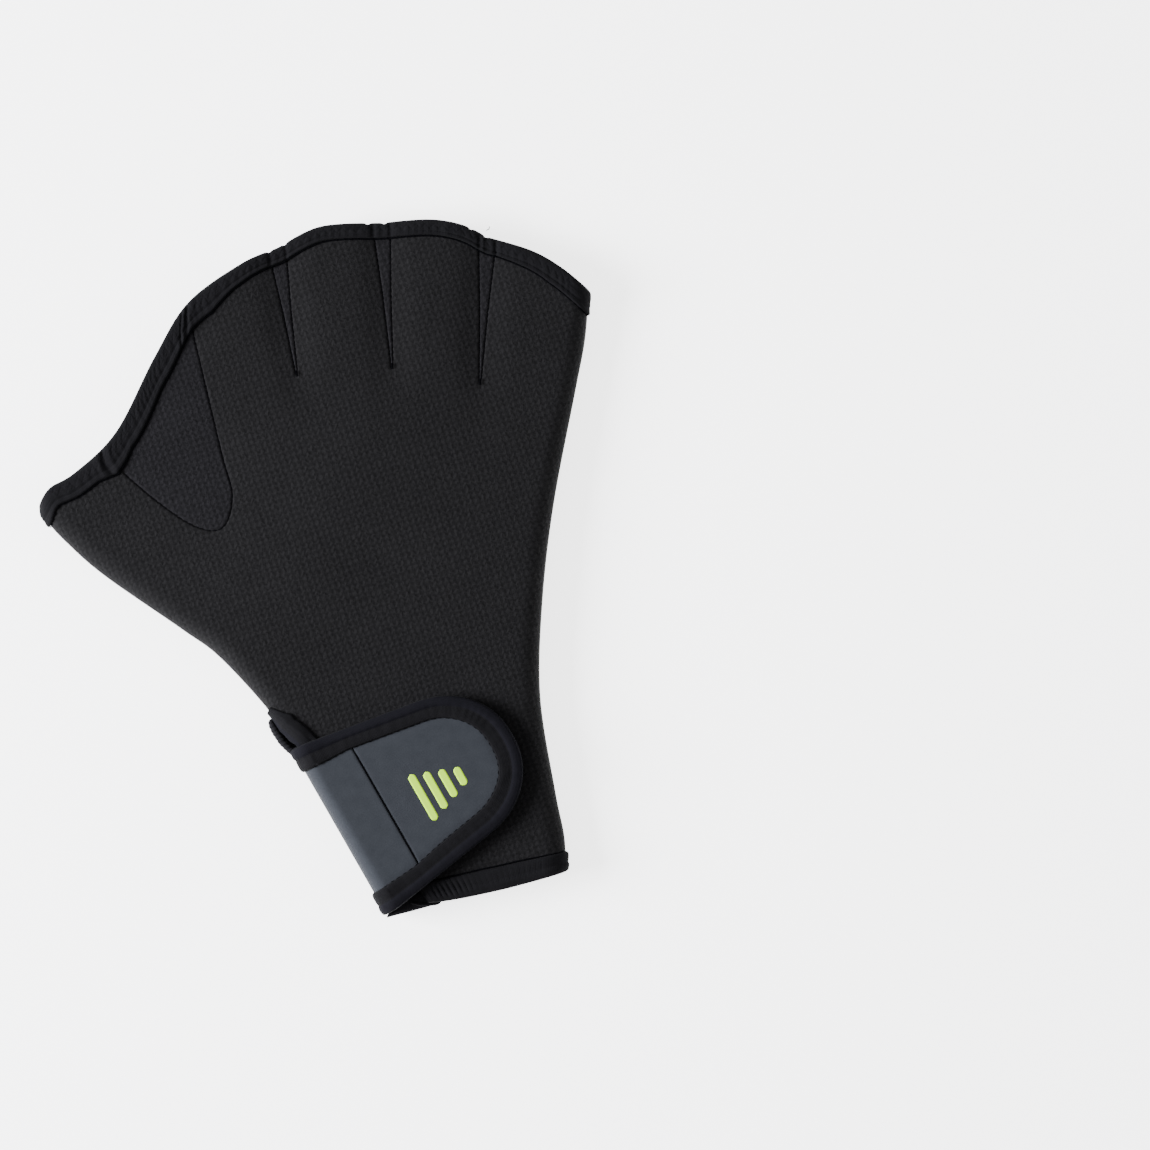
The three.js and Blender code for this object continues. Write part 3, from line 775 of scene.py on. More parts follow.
def plain_cloth(name, dark, light, pitch, rise, roughness=0.8, specular=0.15, sheen=0.04):
    """Fine smooth knit: small wales with a soft stray"""
    finish = Finish(name, dark, roughness, specular_ior_level=specular, sheen_weight=sheen,
                    sheen_roughness=0.4)
    where, x, y = cloth_places(finish)
    wale = abs((x * (math.pi / pitch)).sin())
    course = abs((y * (math.pi / pitch)).sin())
    grain = finish.noise(where, 2.2, 4, 0.6)
    height = wale * 0.35 + course * 0.25 + grain * 0.6
    finish.relief(height, rise)
    blotch = finish.noise(where, 0.25, 3)
    tone = (grain * 0.7 + blotch * 0.5 + wale * 0.15 - 0.15).clamp()
    return finish.paint(finish.mix(tone, dark, light))


def object_grain(name, dark, light, scale, rise, roughness, specular=0.3):
    """Small hard or thread-like parts, grained in place"""
    finish = Finish(name, dark, roughness, specular_ior_level=specular)
    where = finish.node("ShaderNodeTexCoord", None, "Object")
    grain = finish.noise(where, scale, 3)
    finish.relief(grain, rise)
    return finish.paint(finish.mix(grain, dark, light))


neoprene_knit = knit_neoprene("neoprene_knit", (0.0033, 0.0032, 0.0035), (0.0104, 0.0101, 0.0108))
web_knit = knit_neoprene("web_knit", (0.0034, 0.0033, 0.0039), (0.0106, 0.0101, 0.0116))
lining = plain_cloth("lining", (0.004, 0.004, 0.005), (0.009, 0.009, 0.010), pitch=0.5, rise=0.08)
foam_edge = plain_cloth("foam_edge", (0.003, 0.003, 0.003), (0.006, 0.006, 0.007), pitch=0.3, rise=0.05)
grey_jersey = plain_cloth("grey_jersey", (0.0118, 0.0132, 0.0160), (0.0262, 0.0290, 0.0348),
                          pitch=0.4, rise=0.08, specular=0.08)

# Tapes have hardly any gloss, so that the bright floor doesn't show in their corners
MATT = {"roughness": 0.9, "specular": 0.02, "sheen": 0.01}
tape_jersey = plain_cloth("tape_jersey", (0.0026, 0.0026, 0.0030), (0.0088, 0.0086, 0.0096),
                          pitch=0.5, rise=0.12, **MATT)
# Lighter copy of the same tape's finish: painted light for the tape's turned parts that lie in shade, the
# bead by the slit, the hem's end and the hem's lip
turned_tape_painted_light = plain_cloth("turned_tape_painted_light", (0.006, 0.006, 0.007), (0.015, 0.0145, 0.0165),
                          pitch=0.7, rise=0.15, **MATT)
tape_rim = plain_cloth("tape_rim", (0.0029, 0.0029, 0.0040), (0.0076, 0.0074, 0.0096),
                       pitch=0.4, rise=0.06, **MATT)

thread = object_grain("thread", (0.0008, 0.0008, 0.0011), (0.0024, 0.0024, 0.0031),
                      scale=3000, rise=0.03, roughness=0.95, specular=0.01)
lime_print = object_grain("lime_print", (0.35, 0.63, 0.003), (0.41, 0.71, 0.006),
                          scale=1500, rise=0.02, roughness=0.6)
hook_plastic = object_grain("hook_plastic", (0.008, 0.008, 0.009), (0.018, 0.018, 0.020),
                            scale=1200, rise=0.2, roughness=0.5)


def dress(piece, materials, *nodes):
    """Gives a piece its finishes and its body, and hides the nodes it stands for"""
    for material in materials:
        piece.data.materials.append(material)
    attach(piece, "root")
    if nodes:
        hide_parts(*nodes)
    return piece


# Outlines of the cut cloth
def panel_outline(start, lip_steps):
    """Outline of a panel: up its thumb side from where it starts, along the lip, down and along the wrist"""
    v = np.linspace(0, 1, 260)
    thumb = plan(start(v) / row_length(v), v)
    lip = lip_edge(np.linspace(0, 1, lip_steps))
    little = plan(1, v[::-1])
    wrist = wrist_edge(np.linspace(1, float(start(0) / row_length(0)), 80))
    return np.vstack([thumb, lip[1:], little[1:], wrist[1:-1]])


back_outline = panel_outline(slit_start, 400)
palm_outline = panel_outline(notch_start, 200)
seam_path = Line([place(THUMB_WEB_SEAM)])


def web_seam(clearance=0):
    return seam_path.beside(np.linspace(0, 1, 120), clearance)


def web_outline(clearance):
    return np.vstack([web_seam(clearance), place(PAST_LIP)])


# How far a finger web's outline runs on past the lip
WEDGE_PAST_LIP = 5


def wedge_sides(axis, clearance):
    """The two long sides of a finger web's wedge, from past the lip to its tip"""
    narrowing = np.array(WEB_NARROWING)
    along = narrowing[:, 0] * axis.length
    along[-1] += clearance
    half = (WEB_TIP + (WEB_WIDTH - WEB_TIP) * narrowing[:, 1]) / 2 + clearance
    along = np.concatenate([[-WEDGE_PAST_LIP], along])
    half = np.concatenate([[WEB_WIDTH / 2 + clearance], half])
    return axis.at(along, half), axis.at(along, -half)


def wedge_outline(axis, clearance):
    right, left = wedge_sides(axis, clearance)
    return np.vstack([right, left[::-1]])


# Rows of points round a rolled side, and rows of the even grid as a share of its step
ROLL_ROWS = 8
ROW_SPACING = 0.87


def roll_rows(start, step):
    """Points of the plan that follow both rolled sides"""
    v = np.linspace(0, 1, int(GLOVE_LENGTH / step))
    first = start(v)
    length = row_length(v)
    rows = []
    for turn in np.linspace(0, 1, ROLL_ROWS + 1)[1:]:
        depth = EDGE_ROLL * (1 - math.cos(turn * math.pi / 2))
        near = plan(depth / length, v)
        rows.append(near[first < depth - 0.1])
        rows.append(plan(1 - depth / length, v))
    return rows


def even_grid(outline, step):
    """Staggered points over an outline, clear of the rolled sides"""
    low, high = outline.min(axis=0), outline.max(axis=0)
    x, y = np.meshgrid(np.arange(low[0], high[0], step), np.arange(low[1], high[1], step * ROW_SPACING))
    x = x + (np.arange(len(x)) % 2)[:, None] * step / 2
    points = np.column_stack([x.ravel(), y.ravel()])
    points = points[in_outline(points, outline)]
    sides = [plan(side, np.linspace(0, 1, 90)) for side in (0.0, 1.0)]
    return points[least_gap(points, sides) > EDGE_ROLL + step / 3]


# Cloth at a seam: how deep and how wide it turns down, depth and width of the pull beside it
SEAM_DIP = 0.55
SEAM_BEND = 0.9
SEAM_PULL = 0.25
PULL_WIDTH = 5


def turned_down(points, seams):
    """Depth by which cloth turns down into its seams, and the pull on the cloth beside them"""
    near = least_gap(points, seams)
    edge = 1 - np.sqrt(np.clip(1 - (1 - np.minimum(near / SEAM_BEND, 1)) ** 2, 0, 1))
    return SEAM_DIP * edge + SEAM_PULL * np.exp(-(near / PULL_WIDTH) ** 2)


def cloth_piece(node, shapes, holes, seams, grid, rows, is_back, finishes):
    flat, faces = cut_cloth(shapes, holes, seams, grid, rows)
    points, cloth = panel_surface(flat, is_back)
    if seams:
        points[:, 2] -= turned_down(flat, seams)
    if not is_back:
        faces = faces[:, ::-1]
    piece = make_mesh(f"{node}_cloth", points, faces.tolist(), cloth)
    thicken(piece, NEOPRENE)
    piece.modifiers["thickness"].material_offset = 1
    piece.modifiers["thickness"].material_offset_rim = 2
    return dress(piece, finishes, node)


# Steps of the even grid and of the rows round the rolled sides
BACK_STEP, BACK_ROW_STEP = 1.2, 1.1
PALM_STEP, PALM_ROW_STEP = 2.4, 1.6


def panels():
    back, palm = back_outline, palm_outline
    grid = even_grid(back, BACK_STEP)
    wedge_seams = [side for axis in web_axes for side in wedge_sides(axis, SEAM_CLEAR)]
    finishes = [neoprene_knit, lining, foam_edge]
    webs = [web_knit, lining, foam_edge]
    made = {}
    made["back_panel"] = cloth_piece(
        "back_panel", [back], [web_outline(0), *(wedge_outline(axis, SEAM_CLEAR) for axis in web_axes)],
        [web_seam(0), *wedge_seams], grid, roll_rows(slit_start, BACK_ROW_STEP), True, finishes)
    made["thumb_web"] = cloth_piece(
        "thumb_web", [back, web_outline(SEAM_CLEAR)], [], [web_seam(SEAM_CLEAR)], grid, (), True, webs)
    made["palm_panel"] = cloth_piece(
        "palm_panel", [palm], [], [], even_grid(palm, PALM_STEP), roll_rows(notch_start, PALM_ROW_STEP),
        False, finishes)
    for number, axis in enumerate(web_axes, 1):
        name = f"finger_web_{number}"
        made[name] = cloth_piece(
            name, [back, wedge_outline(axis, 0)], [], list(wedge_sides(axis, 0)), grid, (), True, webs)
    return made


panel_pieces = panels()


# Walls under the finger webs, which part the finger channels
WALL_START = 4.6
WALL_SHARE = 0.92
WALL_RINGS = 40
WALL_SIDES = 14


def web_wall(number, axis):
    along = np.linspace(WALL_START, axis.length * WALL_SHARE, WALL_RINGS)
    width = WEB_WALL / 2 * np.clip((along[-1] - along) / WEB_WALL + 0.2, 0, 1)
    turns = np.linspace(0, 2 * math.pi, WALL_SIDES, endpoint=False)
    middle = axis.at(along, np.zeros(len(along)))
    low = NEOPRENE + TAPE_STACK + SEAM_GAP
    high = back_top(middle) - NEOPRENE - SEAM_GAP
    rings = []
    for place_on_axis, half, top in zip(middle, width, high):
        across = axis.side[None] * (half * np.sign(np.cos(turns)) * np.abs(np.cos(turns)) ** 0.4)[:, None]
        up = (low + top) / 2 + (top - low) / 2 * np.sign(np.sin(turns)) * np.abs(np.sin(turns)) ** 0.25
        rings.append(np.column_stack([place_on_axis + across, up]))
    return dress(tube(f"web_wall_{number}", np.array(rings)), [lining])


for count, web_axis in enumerate(web_axes, 1):
    web_wall(count, web_axis)


# Tapes
def read_table(table, share):
    rows = np.array(table, float)
    return np.interp(share, rows[:, 0], rows[:, 1])


# The hidden inner side of a tape keeps one row of points in so many
HIDDEN_STEP = 5


def u_tape(name, outer, inner, over, under, reach, closed=False, rim_rows=0):
    """Tape folded over a cut edge. outer and inner are rows of points of the cloth, edge first; over and
    under are the heights of the tape's face above them, reach how far it passes the edge. The first
    rim_rows rows of its face have the second finish."""
    up = unit(outer - inner)
    middle = (outer + inner) / 2
    out = unit(middle[0] - middle[1])
    half = np.linalg.norm(outer[0] - inner[0], axis=1) / 2
    turns = np.linspace(0, math.pi, 11)[1:-1]
    nose = []
    for turn in turns:
        high = half + np.where(turn < math.pi / 2, over[0], under[0])
        nose.append(middle[0] + up[0] * (high * math.cos(turn))[:, None]
                    + out * (reach * math.sin(turn) ** 0.8)[:, None])
    rows = range(len(outer))
    legs_over = [outer[k] + up[k] * over[k][:, None] for k in rows]
    legs_under = [inner[k] - up[k] * under[k][:, None] for k in rows]
    hidden = sorted({*rows[::HIDDEN_STEP], rows[-1]} - {0})
    hidden_under = [inner[k] - up[k] * SEAM_GAP / 2 for k in hidden]
    hidden_over = [outer[k] + up[k] * SEAM_GAP / 2 for k in hidden]
    corners = [inner[0] - up[0] * SEAM_GAP / 2 + out * SEAM_GAP,
               outer[0] + up[0] * SEAM_GAP / 2 + out * SEAM_GAP]
    section = [*legs_over[::-1], *nose, *legs_under, *hidden_under[::-1], *corners, *hidden_over]
    rings = np.stack(section, axis=1)
    travel = path_lengths(outer[0])
    girth = path_lengths(rings[len(rings) // 2])
    uv = np.stack(np.broadcast_arrays(travel[:, None], girth[None, :]), axis=-1).reshape(-1, 2)
    made = tube(name, rings, closed, uv)
    if rim_rows:
        first = len(outer) - rim_rows
        columns = np.arange(len(made.data.polygons)) % len(section)
        rim = (columns >= first) & (columns < len(outer) + len(nose) - 1)
        made.data.polygons.foreach_set("material_index", rim.astype(int))
    return made


class Stations:
    """Places along a row of a panel: turns of its near rolled edge, shares between, turns of the far edge"""

    def __init__(self, turns, shares):
        steps = np.linspace(0, 1, turns + 1)
        self.kind = np.concatenate([np.zeros(turns + 1), np.ones(shares), np.full(turns + 1, 2)])
        self.value = np.concatenate([steps, np.linspace(0, 1, shares + 2)[1:-1], steps[::-1]])

    def distance(self, v, start):
        length = row_length(v)
        first = start(v)
        flat = np.maximum(EDGE_ROLL, first + SLIT_RUN)
        quarter = 1 - np.cos(self.value * math.pi / 2)
        near = first + (flat - first) * quarter
        far = length - EDGE_ROLL * quarter
        between = flat + (length - EDGE_ROLL - flat) * self.value
        return np.where(self.kind == 0, near, np.where(self.kind == 1, between, far))


def lip_speed(u):
    """Distance inward from the lip for a whole step of v"""
    step = 0.02
    way = (plan(u, 1.0) - plan(u, 1.0 - step)) / step
    return np.abs((way * lip_outline.right(u)).sum(axis=-1))


# Rise of a tape's face from its folded edge to the end of its leg, in thicknesses
TAPE_FACE = [(0, 1.1), (0.15, 1.25), (0.4, 1.2), (0.58, 1.0), (0.67, 0.72), (0.76, 0.95), (0.87, 1.05),
             (0.95, 0.8), (1, 0.15)]
STRAP_TAPE_FACE = [(0, 1.1), (0.12, 1.35), (0.26, 1.3), (0.38, 0.8), (0.48, 0.95), (0.6, 1.05), (0.8, 1.1),
                   (0.93, 0.85), (1, 0.15)]
RIM_SHARE = 0.38


def leg_depths(face, steps):
    """Shares of a leg's width, close together where its face has its groove and end"""
    marks = np.array([share for share, _ in face])
    return np.unique(np.round(np.concatenate([marks, np.linspace(0, 1, steps)]), 3))


def lip_share_of(line):
    """Share of the lip under which a seam's line runs out"""
    lip = lip_edge(np.linspace(0, 1, 2001))
    return gap_to(lip, spaced(line, 0.5)).argmin() / 2000


def lip_creases():
    """Creases across the lip's tape: share of the lip, then depth, half width and lean, in mm"""
    rows = []
    for axis in web_axes:
        rows += [(lip_share_of(side), 0.42, 0.65, 0.0) for side in wedge_sides(axis, 0)]
    seam = web_seam(0)
    half = len(seam) // 2
    rows.append((lip_share_of(seam[:half]), 0.5, 0.9, -2.5))
    rows.append((lip_share_of(seam[:half]) - 0.012, 0.35, 0.6, -3.5))
    rows.append((lip_share_of(seam[half:]), 0.6, 0.9, 0.8))
    return rows


def zigzag(travel, pitch):
    return np.abs((travel / pitch) % 2 - 1)


# Zigzag sewn into the lip's tape: pitch, depth, width of a dimple, first share of the leg and its spread
ZIGZAG_PITCH = 1.5
ZIGZAG_DEPTH = 0.16
ZIGZAG_WIDTH = 0.3
ZIGZAG_START = 0.12
ZIGZAG_SPREAD = 0.36
CREASE_SWELL = 0.35
TAPE_WAVE = 0.07

# Where the lip's tape ends on its own start, and how it rises there
OVERLAP_PLACE = place((0.352, 0.928))
OVERLAP_RISE = 0.35
OVERLAP_LENGTH = 16


def cloth_rows(heights, stations, start, is_back):
    """Outer and inner points of a panel along rows of v"""
    rows = [wall(v, stations.distance(v, start), is_back) for v in heights]
    return np.stack([outer for outer, _ in rows]), np.stack([inner for _, inner in rows])


def all_round(back, palm, last):
    """Values of a tape over the back and then under the palm, whose stations run the other way"""
    turned = [values[:, ::-1][:, 1:last] for values in palm]
    return [np.concatenate(pair, axis=1) for pair in zip(back, turned)]


def even_lift(face, count):
    """Rise of a tape's face, the same at every station"""
    return np.repeat(face[:, None], count, axis=1) * TAPE


def lip_lift(travel, shares, face, leg):
    """Height of the lip tape's face: its profile, creases, stitch dimples and the step where it overlaps"""
    lift = even_lift(face, len(travel))
    inner_part = smooth(1.05, 0.85, shares)[:, None]
    for mark, depth, half, lean in lip_creases():
        off = travel[None] - mark * lip_outline.total - lean * shares[:, None]
        beside = np.exp(-((np.abs(off) - 2.6 * half) / (1.4 * half)) ** 2)
        dent = np.exp(-(off / half) ** 2) - CREASE_SWELL * beside
        lift -= depth * dent * inner_part
    stitch = ZIGZAG_START + ZIGZAG_SPREAD * zigzag(travel, ZIGZAG_PITCH)[None]
    dimple = np.exp(-((shares[:, None] - stitch) * leg[None] / ZIGZAG_WIDTH) ** 2)
    lift -= ZIGZAG_DEPTH * dimple
    wave = np.sin(travel * 2.1 + 3 * np.sin(travel * 0.23)) * TAPE_WAVE
    lift += wave[None] * np.sin(shares * math.pi)[:, None]
    overlap = travel - lip_share_of(closed_line(OVERLAP_PLACE[None])) * lip_outline.total
    doubled = smooth(-OVERLAP_LENGTH, 4 - OVERLAP_LENGTH, overlap) * smooth(0.5, 0, overlap)
    lift += OVERLAP_RISE * doubled[None] * inner_part
    return lift


# Stations of the tapes: round each rolled side, over the back and under the palm
ROLL_TURNS = 8
LIP_STATIONS = {"back": 800, "palm": 160}
HEM_STATIONS = {"back": 300, "palm": 80}

# Lip's tape: width under the palm, how far its fold bulges past the edge and how much a crease draws it in
LIP_PALM_WIDTH = 5.0
LIP_BULGE = 0.45
CREASE_DRAW = 0.5
CREASE_DRAW_WIDTH = 0.8

# Stitches lie this far past the end of a tape's leg
STITCH_PAST = 0.3


def lip_tape():
    shares = leg_depths(TAPE_FACE, 16)
    face = read_table(TAPE_FACE, shares)
    parts = []
    for is_back, side, start in ((True, "back", slit_start), (False, "palm", notch_start)):
        stations = Stations(ROLL_TURNS, LIP_STATIONS[side])
        u = stations.distance(np.ones(len(stations.value)), start) / row_length(1.0)
        leg = (read_table(LIP_TAPE, u) if is_back else np.full(len(u), LIP_PALM_WIDTH)) - TAPE_STACK
        heights = [1 - leg * share / lip_speed(u) for share in shares]
        lift = lip_lift(u * lip_outline.total, shares, face, leg) if is_back else even_lift(face, len(u))
        parts.append([*cloth_rows(heights, stations, start, is_back), lift])
    outer, inner, lift = all_round(*parts, -1)
    under = np.full(lift.shape, float(TAPE_STACK)) * np.where(shares < 0.99, 1, 0.5)[:, None]
    reach = np.full(outer.shape[1], float(TAPE_STACK))
    back_count = parts[0][0].shape[1]
    share = np.linspace(0, 1, back_count)
    reach[:back_count] += LIP_BULGE * smooth(0.0, 0.05, share) * smooth(0.5, 0.34, share)
    for mark, _, _, _ in lip_creases()[:2 * len(web_axes)]:
        off = (share - mark) * lip_outline.total
        reach[:back_count] -= CREASE_DRAW * np.exp(-(off / CREASE_DRAW_WIDTH) ** 2)
    piece = u_tape("lip_tape", outer, inner, SEAM_GAP + lift, under, reach, closed=True)
    edge = beside_leg(outer, inner)[:back_count]
    return dress(piece, [tape_jersey], "lip_binding"), edge


def beside_leg(outer, inner):
    """Line of points just past the end of a tape's leg, where its stitches lie"""
    past = unit(outer[-1] - outer[-2]) * STITCH_PAST
    return outer[-1] + past + unit(outer[-1] - inner[-1]) * SEAM_GAP


# Ribs of the hem's tape: pitch, rise, extra rise near the slit and where that ends, in from the edge
HEM_RIB = 1.7
RIB_RISE = 0.06
RIB_EXTRA = 0.62
RIB_EXTRA_FULL = 22
RIB_EXTRA_END = 36


def hem_tape():
    shares = leg_depths(TAPE_FACE, 12)
    face = read_table(STRAP_TAPE_FACE, shares)
    parts = []
    for is_back, side, start in ((True, "back", slit_start), (False, "palm", notch_start)):
        stations = Stations(ROLL_TURNS, HEM_STATIONS[side])
        heights = [np.full(len(stations.value), HEM_ROW * share) for share in shares]
        travel = stations.distance(np.zeros(len(stations.value)), start)
        lift = even_lift(face, len(travel))
        if is_back:
            ribs = np.abs(np.sin(travel * math.pi / HEM_RIB)) ** 0.7 - 0.7
            strength = RIB_RISE + RIB_EXTRA * smooth(RIB_EXTRA_END, RIB_EXTRA_FULL, travel)
            lift += (ribs * strength)[None] * np.sin(np.minimum(shares * 1.15, 1) * math.pi * 0.85)[:, None]
        parts.append([*cloth_rows(heights, stations, start, is_back), lift])
    outer, inner, lift = all_round(*parts, -ROLL_TURNS - 1)
    under = np.full(lift.shape, float(TAPE_STACK))
    reach = np.full(outer.shape[1], float(TAPE_STACK))
    piece = u_tape("hem_tape", outer, inner, SEAM_GAP + lift, under, reach)
    edge = beside_leg(outer, inner)[:parts[0][0].shape[1]]
    return dress(piece, [tape_jersey], "wrist_binding"), edge


# Slit's tape where it puffs up at the strap's upper corner: share of its leg, rise in thicknesses
SLIT_PUFF = [(0, 1.1), (0.3, 2.0), (0.6, 2.3), (0.9, 1.3), (0.97, 0.9), (1, 0.15)]

# How far up the strap that tape puffs up, narrows and bulges past the edge
PUFF_FROM, PUFF_FULL, PUFF_FADE, PUFF_END = 28, 34, 41, 45.5
NARROW_FROM, NARROW_SHARE = 39.5, 0.7
BULGE_FROM, BULGE_FULL, BULGE_FADE, BULGE_END, BULGE_SHARE = 31, 34, 43.5, 47, 1.1
SLIT_SOFTENING = 31
SLIT_RIM_ROWS = 4


def softened(ways):
    """Directions along the slit, each the mean of those near it"""
    even = np.ones(SLIT_SOFTENING) / SLIT_SOFTENING
    padded = np.pad(ways, ((SLIT_SOFTENING // 2,) * 2, (0, 0)), mode="edge")
    return unit(np.column_stack([np.convolve(padded[:, k], even, mode="valid") for k in (0, 1)]))


def slit_tape():
    """Tape on the slit's edge of the back, from the side seam down to the hem's tape"""
    shares = leg_depths(TAPE_FACE, 14)
    foot = HEM_ROW + (TAPE_STACK + SEAM_GAP) / EDGE_LENGTH
    turn = np.sin(np.linspace(0, 1, 40) * math.pi / 2) * 0.995
    v = np.concatenate([np.linspace(foot, SLIT_STRAIGHT, 150)[:-1],
                        SLIT_STRAIGHT + (SLIT_END - SLIT_STRAIGHT) * turn])
    path = np.column_stack([slit_start(v), v * EDGE_LENGTH])
    ahead = softened(unit(np.gradient(path, axis=0)))
    inward = np.column_stack([ahead[:, 1], -ahead[:, 0]])
    up_strap = v * EDGE_LENGTH - STRAP_PLACE
    leg = (SLIT_TAPE_WIDTH - TAPE_STACK) * (1 - NARROW_SHARE * smooth(NARROW_FROM, PUFF_END, up_strap))
    rows = []
    for share in shares:
        reached = path + inward * (share * leg)[:, None]
        rows.append(wall(reached[:, 1] / EDGE_LENGTH, np.maximum(reached[:, 0], 0), True))
    outer = np.stack([row[0] for row in rows])
    inner = np.stack([row[1] for row in rows])
    plain = read_table(TAPE_FACE, shares)[:, None]
    puffed = read_table(SLIT_PUFF, shares)[:, None]
    puff = (smooth(PUFF_FROM, PUFF_FULL, up_strap) * smooth(PUFF_END, PUFF_FADE, up_strap))[None]
    over = SEAM_GAP + (plain + (puffed - plain) * puff) * TAPE
    under = np.full(over.shape, float(TAPE_STACK))
    bulge = smooth(BULGE_FROM, BULGE_FULL, up_strap) * smooth(BULGE_END, BULGE_FADE, up_strap)
    reach = TAPE_STACK * (1 + BULGE_SHARE * bulge)
    piece = u_tape("slit_tape", outer, inner, over, under, reach, rim_rows=SLIT_RIM_ROWS)
    return dress(piece, [tape_jersey, tape_rim], "slit_binding")


# Roll of tape on the palm's edge beside the slit, in the strap's frame: b, a of its middle, half width
EDGE_BEAD = [(26.0, 0.9, 0.2), (28.0, 0.3, 0.9), (30.0, -0.3, 1.3), (31.5, -0.75, 1.4),
             (34.3, -1.5, 1.4), (38.5, -1.85, 1.35), (41.0, -1.75, 1.2), (42.3, -1.5, 0.9), (42.8, -1.4, 0.2)]
BEAD_ROUND = 12
BEAD_STEPS = 110
BEAD_LOW, BEAD_HIGH = 3.2, 8.0
BEAD_STITCH = 1.4

# Flat leg of that roll, which goes in under the back: length below the strap's corner and past it, height
BEAD_LEG = 9
BEAD_LEG_PAST = 1.6
BEAD_LEG_LOW = 4.2
BEAD_LEG_FROM, BEAD_LEG_FULL, BEAD_LEG_FADE, BEAD_LEG_END = 28.0, 29.5, 33.6, 34.1


def edge_bead():
    table = np.array(EDGE_BEAD)
    b = np.linspace(table[0, 0], table[-1, 0], BEAD_STEPS)
    middle, half = (np.interp(b, table[:, 0], table[:, k]) for k in (1, 2))
    leg = BEAD_LEG * smooth(BEAD_LEG_FROM, BEAD_LEG_FULL, b) * smooth(BEAD_LEG_END, BEAD_LEG_FADE, b)
    leg += BEAD_LEG_PAST * smooth(BEAD_LEG_FADE, BEAD_LEG_END, b)
    upper = np.linspace(0, math.pi, BEAD_ROUND)
    rings = []
    for place_b, a, wide, long in zip(b, middle, half, leg):
        stitch = 1 + 0.05 * math.cos(place_b * 2 * math.pi / BEAD_STITCH)
        over_a = a + wide * stitch * np.cos(upper)
        over_z = BEAD_HIGH - wide + 1.2 * wide * stitch * np.sin(upper)
        under_a = a - wide * np.cos(upper)
        under_z = BEAD_LOW + wide - wide * np.sin(upper)
        leg_a = [a + wide + long, a + wide + long]
        across = np.concatenate([over_a, under_a, leg_a])
        up = np.concatenate([over_z, under_z, [BEAD_LEG_LOW, BEAD_LEG_LOW + TAPE]])
        rings.append(np.column_stack([on_strap(across, place_b), up]))
    # The bead's finish is the lightened tape: painted light on a part in shade
    return dress(tube("edge_bead", np.array(rings)), [turned_tape_painted_light])


# Strap
PALM, FOLD, BACK = 0, 1, 2
NOSE_START = STRAP_REACH - NOSE_LENGTH
NOSE_RUN = NOSE_LENGTH - TAPE_STACK
EDGE_SQUEEZE = 0.35
SEAM_TURN = 0.8
ACROSS_STEPS = 60
BAND_END = STRAP_SEAM - SEAM_GAP / 2
TAB_START = STRAP_SEAM + SEAM_GAP / 2
FOLD_STEPS = 30


def strap_top(points):
    return crown(points) + STRAP_UNDER + STRAP_THICKNESS


def strap_straight(a):
    return STRAP_WIDTH / 2 - TAPE_STACK - STRAP_TAPER * np.maximum(a, 0)


def strap_half(a):
    nose = np.clip((np.asarray(a, float) - NOSE_START) / NOSE_RUN, 0, 1)
    return strap_straight(a) * (1 - nose ** NOSE_POWER) ** (1 / NOSE_POWER)


def flat_a(stretch, at):
    """How far a place on the strap lies over the back: none under the palm, growing round the fold"""
    return np.where(stretch == BACK, at, np.where(stretch == FOLD, STRAP_FOLD * at / math.pi, 0))


def rim_gap(a, b):
    """Rough distance in from the strap's rim"""
    side = strap_half(a) - np.abs(b)
    turned = smooth(NOSE_START - 10, NOSE_START + 8, a)
    nose = (STRAP_REACH - TAPE_STACK - a) * turned + STRAP_REACH * (1 - turned)
    return np.minimum(side, nose)


def strap_point(stretch, at, b, depth):
    """Point of the strap: under the palm, round the fold by an angle, or over the back"""
    values = (np.asarray(value, float) for value in (stretch, at, b, depth))
    stretch, at, b, depth = np.broadcast_arrays(*values)
    high = strap_top(on_strap(STRAP_FOLD, b))
    sunk = STRAP_FOLD - (STRAP_FOLD - depth) * np.sin(at)
    point = on_strap(np.where(stretch == FOLD, sunk, at), b)
    rise = (high - TAPE_STACK) / 2 - depth
    folded = (high + TAPE_STACK) / 2 - rise * np.cos(at)
    gap = rim_gap(np.where(stretch == BACK, at, 0), b)
    squeeze = EDGE_SQUEEZE * smooth(STRAP_TAPE_WIDTH + 2, STRAP_TAPE_WIDTH - 2, gap)
    squeeze = squeeze * smooth(STRAP_FOLD, STRAP_FOLD + 6, at) * (depth < STRAP_THICKNESS / 2)
    over = strap_top(point) - depth - squeeze
    under = TAPE_STACK + depth
    z = np.where(stretch == FOLD, folded, np.where(stretch == BACK, over, under))
    return np.concatenate([point, z[..., None]], axis=-1)


def band_places():
    turns = np.linspace(0, math.pi, FOLD_STEPS + 1)[1:-1]
    back = np.concatenate([np.linspace(STRAP_FOLD, BAND_END - 1.2, 12),
                           BAND_END - np.array([0.8, 0.5, 0.25, 0.08, 0])])
    stretch = np.concatenate([[PALM] * 4, [FOLD] * len(turns), [BACK] * len(back)])
    return stretch, np.concatenate([np.linspace(STRAP_ROOT, STRAP_FOLD, 4), turns, back])


def tab_places():
    nose = NOSE_START + NOSE_RUN * np.sin(np.linspace(0, 1, 30)[1:-1] * math.pi / 2)
    back = np.concatenate([TAB_START + np.array([0, 0.08, 0.25, 0.5, 0.8]),
                           np.linspace(TAB_START + 1.2, NOSE_START, 24), nose])
    return np.full(len(back), BACK), back


